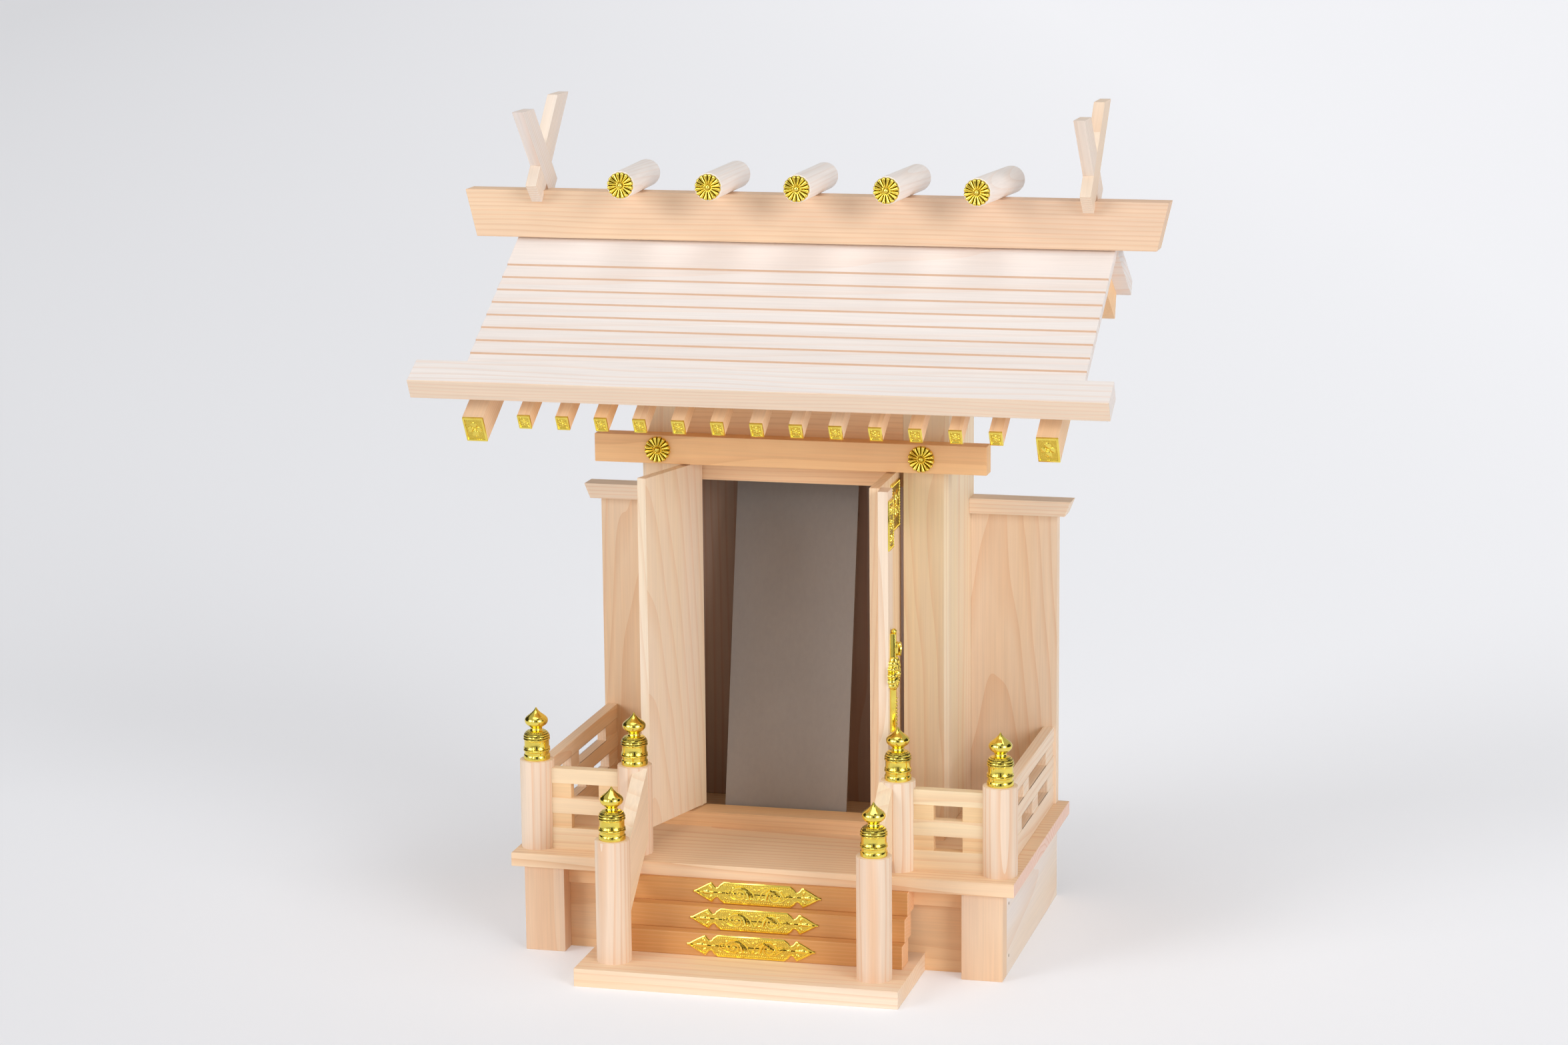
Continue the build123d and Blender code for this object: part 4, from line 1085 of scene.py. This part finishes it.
class ALTAR_OT_door_lock(bpy.types.Operator):
    """Build the ornamental lock on the meeting strip"""
    bl_idname = "altar.door_lock"
    bl_label = "Door lock"

    def execute(self, context):
        facing = Matrix.Translation((0.0, STRIP_FRONT, LOCK_Z)) @ turn(90, "X")
        make("door_lock_cast", repeated(lock(), [swung() @ facing]), gilt("gold_lock"),
             "right_leaf", ["door_lock"], sharp=50.0)
        return {"FINISHED"}


class ALTAR_OT_nails(bpy.types.Operator):
    """Set the heads of the two nails that hold the right side panel"""
    bl_idname = "altar.nails"
    bl_label = "Nail heads"

    def execute(self, context):
        head = turned([(0, 0.22), (0.5, 0.2), (0.85, 0.1), (0.95, -0.3), (0, -0.3)], 20)
        places = [at(PANEL_FACE, NAIL_LINE, height) @ turn(90, "Y") for height in NAIL_HEIGHTS]
        make("side_panel_nails", repeated(head, places), steel("steel_nails"), "altar")
        return {"FINISHED"}


class ALTAR_OT_card(bpy.types.Operator):
    """Give the card inside the altar its blank handmade paper"""
    bl_idname = "altar.card"
    bl_label = "Paper card"

    def execute(self, context):
        dress("talisman", paper("paper_card"), 0.25 * MM)
        return {"FINISHED"}


# Stage

def sheet(name, width, height, place, material):
    """Flat sheet of the studio, facing up before it is put in its place."""
    bm = bmesh.new()
    bmesh.ops.create_grid(bm, x_segments=1, y_segments=1, size=0.5)
    bmesh.ops.scale(bm, vec=(width, height, 1), verts=bm.verts)
    bmesh.ops.transform(bm, matrix=place, verts=bm.verts)
    mesh = bpy.data.meshes.new(name)
    bm.to_mesh(mesh)
    bm.free()
    mesh.materials.append(material)
    obj = bpy.data.objects.new(name, mesh)
    bpy.context.scene.collection.objects.link(obj)
    return obj


def floor_paper(backdrop):
    """Pale matt floor that glows a little, with painted light that falls off to the left."""
    material, tree, principled = shader("floor_paper")
    across = add(tree, "ShaderNodeMapRange")
    across.inputs["From Min"].default_value = -1.6
    across.inputs["From Max"].default_value = 1.0
    tree.links.new(along_axis(tree, object_coords(tree), (1.0, 0.3, 0.0)), across.inputs["Value"])
    # Painted light falloff: the floor colour drops to 0.76 of the backdrop towards the left.
    colour = blended(tree, across.outputs[0], darker(backdrop, 0.76, 0.76, 0.76), backdrop)
    tree.links.new(colour, principled.inputs["Base Color"])
    tree.links.new(colour, principled.inputs["Emission Color"])
    principled.inputs["Emission Strength"].default_value = 0.20
    principled.inputs["Roughness"].default_value = 0.9
    principled.inputs["Specular IOR Level"].default_value = 0.0
    return material


def card_paint(name, glow):
    """Black card, or a strip that glows."""
    material, _, principled = shader(name)
    principled.inputs["Base Color"].default_value = (0.02, 0.018, 0.015, 1.0)
    principled.inputs["Roughness"].default_value = 1.0
    principled.inputs["Emission Color"].default_value = (1.0, 0.98, 0.95, 1.0)
    principled.inputs["Emission Strength"].default_value = glow
    return material


def background(tree, colour, strength):
    """Even light from all round."""
    node = add(tree, "ShaderNodeBackground")
    node.inputs["Color"].default_value = (*colour, 1.0)
    node.inputs["Strength"].default_value = strength
    return node.outputs[0]


def studio_world(scene, backdrop):
    """Soft light from all round, a grey room for the gold to mirror, and the backdrop for the camera."""
    world = bpy.data.worlds.new("studio")
    scene.world = world
    world.use_nodes = True
    tree = world.node_tree
    tree.nodes.clear()
    rays = add(tree, "ShaderNodeLightPath").outputs
    light = background(tree, (1.0, 0.97, 0.93), 0.22)
    for ray, seen in (("Is Glossy Ray", background(tree, (0.95, 0.97, 1.0), 0.5)),
                      ("Is Camera Ray", background(tree, backdrop, 1.0))):
        light = feed(tree, add(tree, "ShaderNodeMixShader"), rays[ray], light, seen).outputs[0]
    feed(tree, add(tree, "ShaderNodeOutputWorld"), light)


# Softboxes: where they stand, seen from the altar, their strength and how wide they look, in degrees.
SOFTBOXES = {
    "softbox_left": ((-0.72, -0.72, 0.33), 1.24, 32),
    "softbox_right": ((0.80, -0.62, 0.33), 1.29, 32),
    "softbox_above": ((0.05, -0.15, 1.0), 0.94, 45),
}
# Bright strips and dark cards that only the polished gold sees: place, size, what they face, and glow.
CARDS = {
    "bright_strip_left": ((-0.66, -2.30, 1.0), (0.3, 1.6), (0, 0, 0.4), 8.0),
    "bright_strip_right": ((1.90, -1.47, 1.0), (0.3, 1.6), (0, 0, 0.4), 8.0),
    "dark_card_left": ((-2.4, 0.5, 0.8), (2.6, 2.4), (0, 0, 0.8), 0.0),
    "dark_card_right": ((2.5, 0.7, 0.8), (2.6, 2.4), (0, 0, 0.8), 0.0),
    "dark_card_behind": ((0.72, -2.81, 0.9), (0.75, 2.6), (0, 0, 0.3), 0.0),
    "dark_card_low": ((0.3, -3.0, 0.01), (5.0, 3.0), (0.3, -3.0, 1.0), 0.0),
    "dark_card_above": ((0.9, -1.0, 2.8), (1.2, 0.9), (0, 0, 0.3), 0.0),
}


def studio_lights(scene):
    """Softboxes beside the camera and overhead."""
    for name, (toward, strength, spread) in SOFTBOXES.items():
        lamp = bpy.data.lights.new(name, "SUN")
        lamp.energy = strength
        lamp.angle = math.radians(spread)
        softbox = bpy.data.objects.new(name, lamp)
        softbox.rotation_euler = Vector(toward).to_track_quat("Z", "Y").to_euler()
        scene.collection.objects.link(softbox)


def studio_cards():
    """Cards and strips round the camera, which only show as reflections."""
    for name, (place, (width, height), target, glow) in CARDS.items():
        away = (Vector(target) - Vector(place)).to_track_quat("Z", "Y").to_matrix().to_4x4()
        card = sheet(name, width, height, Matrix.Translation(place) @ away, card_paint(name, glow))
        card.visible_camera = False
        card.visible_diffuse = False
        card.visible_shadow = False
        card.visible_transmission = False


def photo_camera(scene, setup):
    """Camera at its place, turned, tilted and rolled."""
    azimuth, elevation, roll = setup.azimuth, setup.elevation, setup.roll
    ahead = Vector((-math.sin(azimuth) * math.cos(elevation), math.cos(azimuth) * math.cos(elevation),
                    -math.sin(elevation)))
    right = ahead.cross(Vector(UP)).normalized()
    up = right.cross(ahead)
    across = math.cos(roll) * right + math.sin(roll) * up
    upward = math.cos(roll) * up - math.sin(roll) * right
    data = bpy.data.cameras.new("photo_camera")
    data.lens = setup.lens
    data.sensor_width = 36.0
    camera = bpy.data.objects.new("photo_camera", data)
    pose = Matrix((across, upward, -ahead)).transposed().to_4x4()
    pose.translation = Vector(setup.camera_place)
    camera.matrix_world = pose
    scene.collection.objects.link(camera)
    scene.camera = camera


class ALTAR_OT_stage(bpy.types.Operator):
    """Set the floor, the studio light and the camera"""
    bl_idname = "altar.stage"
    bl_label = "Studio"

    def execute(self, context):
        scene = context.scene
        backdrop = tuple(scene.altar_stage.backdrop)
        scene.view_settings.view_transform = "Standard"
        sheet("studio_floor", 60.0, 60.0, Matrix(), floor_paper(backdrop))
        studio_world(scene, backdrop)
        studio_lights(scene)
        studio_cards()
        photo_camera(scene, scene.altar_stage)
        return {"FINISHED"}


# Panel and registration

STEPS = (ALTAR_OT_stage, ALTAR_OT_boards, ALTAR_OT_newels, ALTAR_OT_logs, ALTAR_OT_finials, ALTAR_OT_rosettes,
         ALTAR_OT_rafter_caps, ALTAR_OT_step_plates, ALTAR_OT_door_plates, ALTAR_OT_door_lock, ALTAR_OT_nails,
         ALTAR_OT_card)
GROUPS = {"altar_wood": AltarWood, "altar_gold": AltarGold,
          "altar_paper": AltarPaper, "altar_stage": AltarStage}


class ALTAR_PT_panel(bpy.types.Panel):
    """Sizes, colours and pieces of the altar"""
    bl_idname = "ALTAR_PT_panel"
    bl_label = "House Altar"
    bl_space_type = "VIEW_3D"
    bl_region_type = "UI"
    bl_category = "Altar"

    def draw(self, context):
        for name, group in GROUPS.items():
            box = self.layout.box()
            for prop in group.__annotations__:
                box.prop(getattr(context.scene, name), prop)
        for step in STEPS:
            self.layout.operator(step.bl_idname)


def register():
    for group in GROUPS.values():
        bpy.utils.register_class(group)
    for name, group in GROUPS.items():
        setattr(bpy.types.Scene, name, PointerProperty(type=group))
    for step in STEPS:
        bpy.utils.register_class(step)
    bpy.utils.register_class(ALTAR_PT_panel)


def unregister():
    bpy.utils.unregister_class(ALTAR_PT_panel)
    for step in reversed(STEPS):
        bpy.utils.unregister_class(step)
    for name in GROUPS:
        delattr(bpy.types.Scene, name)
    for group in reversed(tuple(GROUPS.values())):
        bpy.utils.unregister_class(group)


def main():
    register()
    for step in STEPS:
        family, name = step.bl_idname.split(".")
        getattr(getattr(bpy.ops, family), name)()


if __name__ == "__main__":
    main()
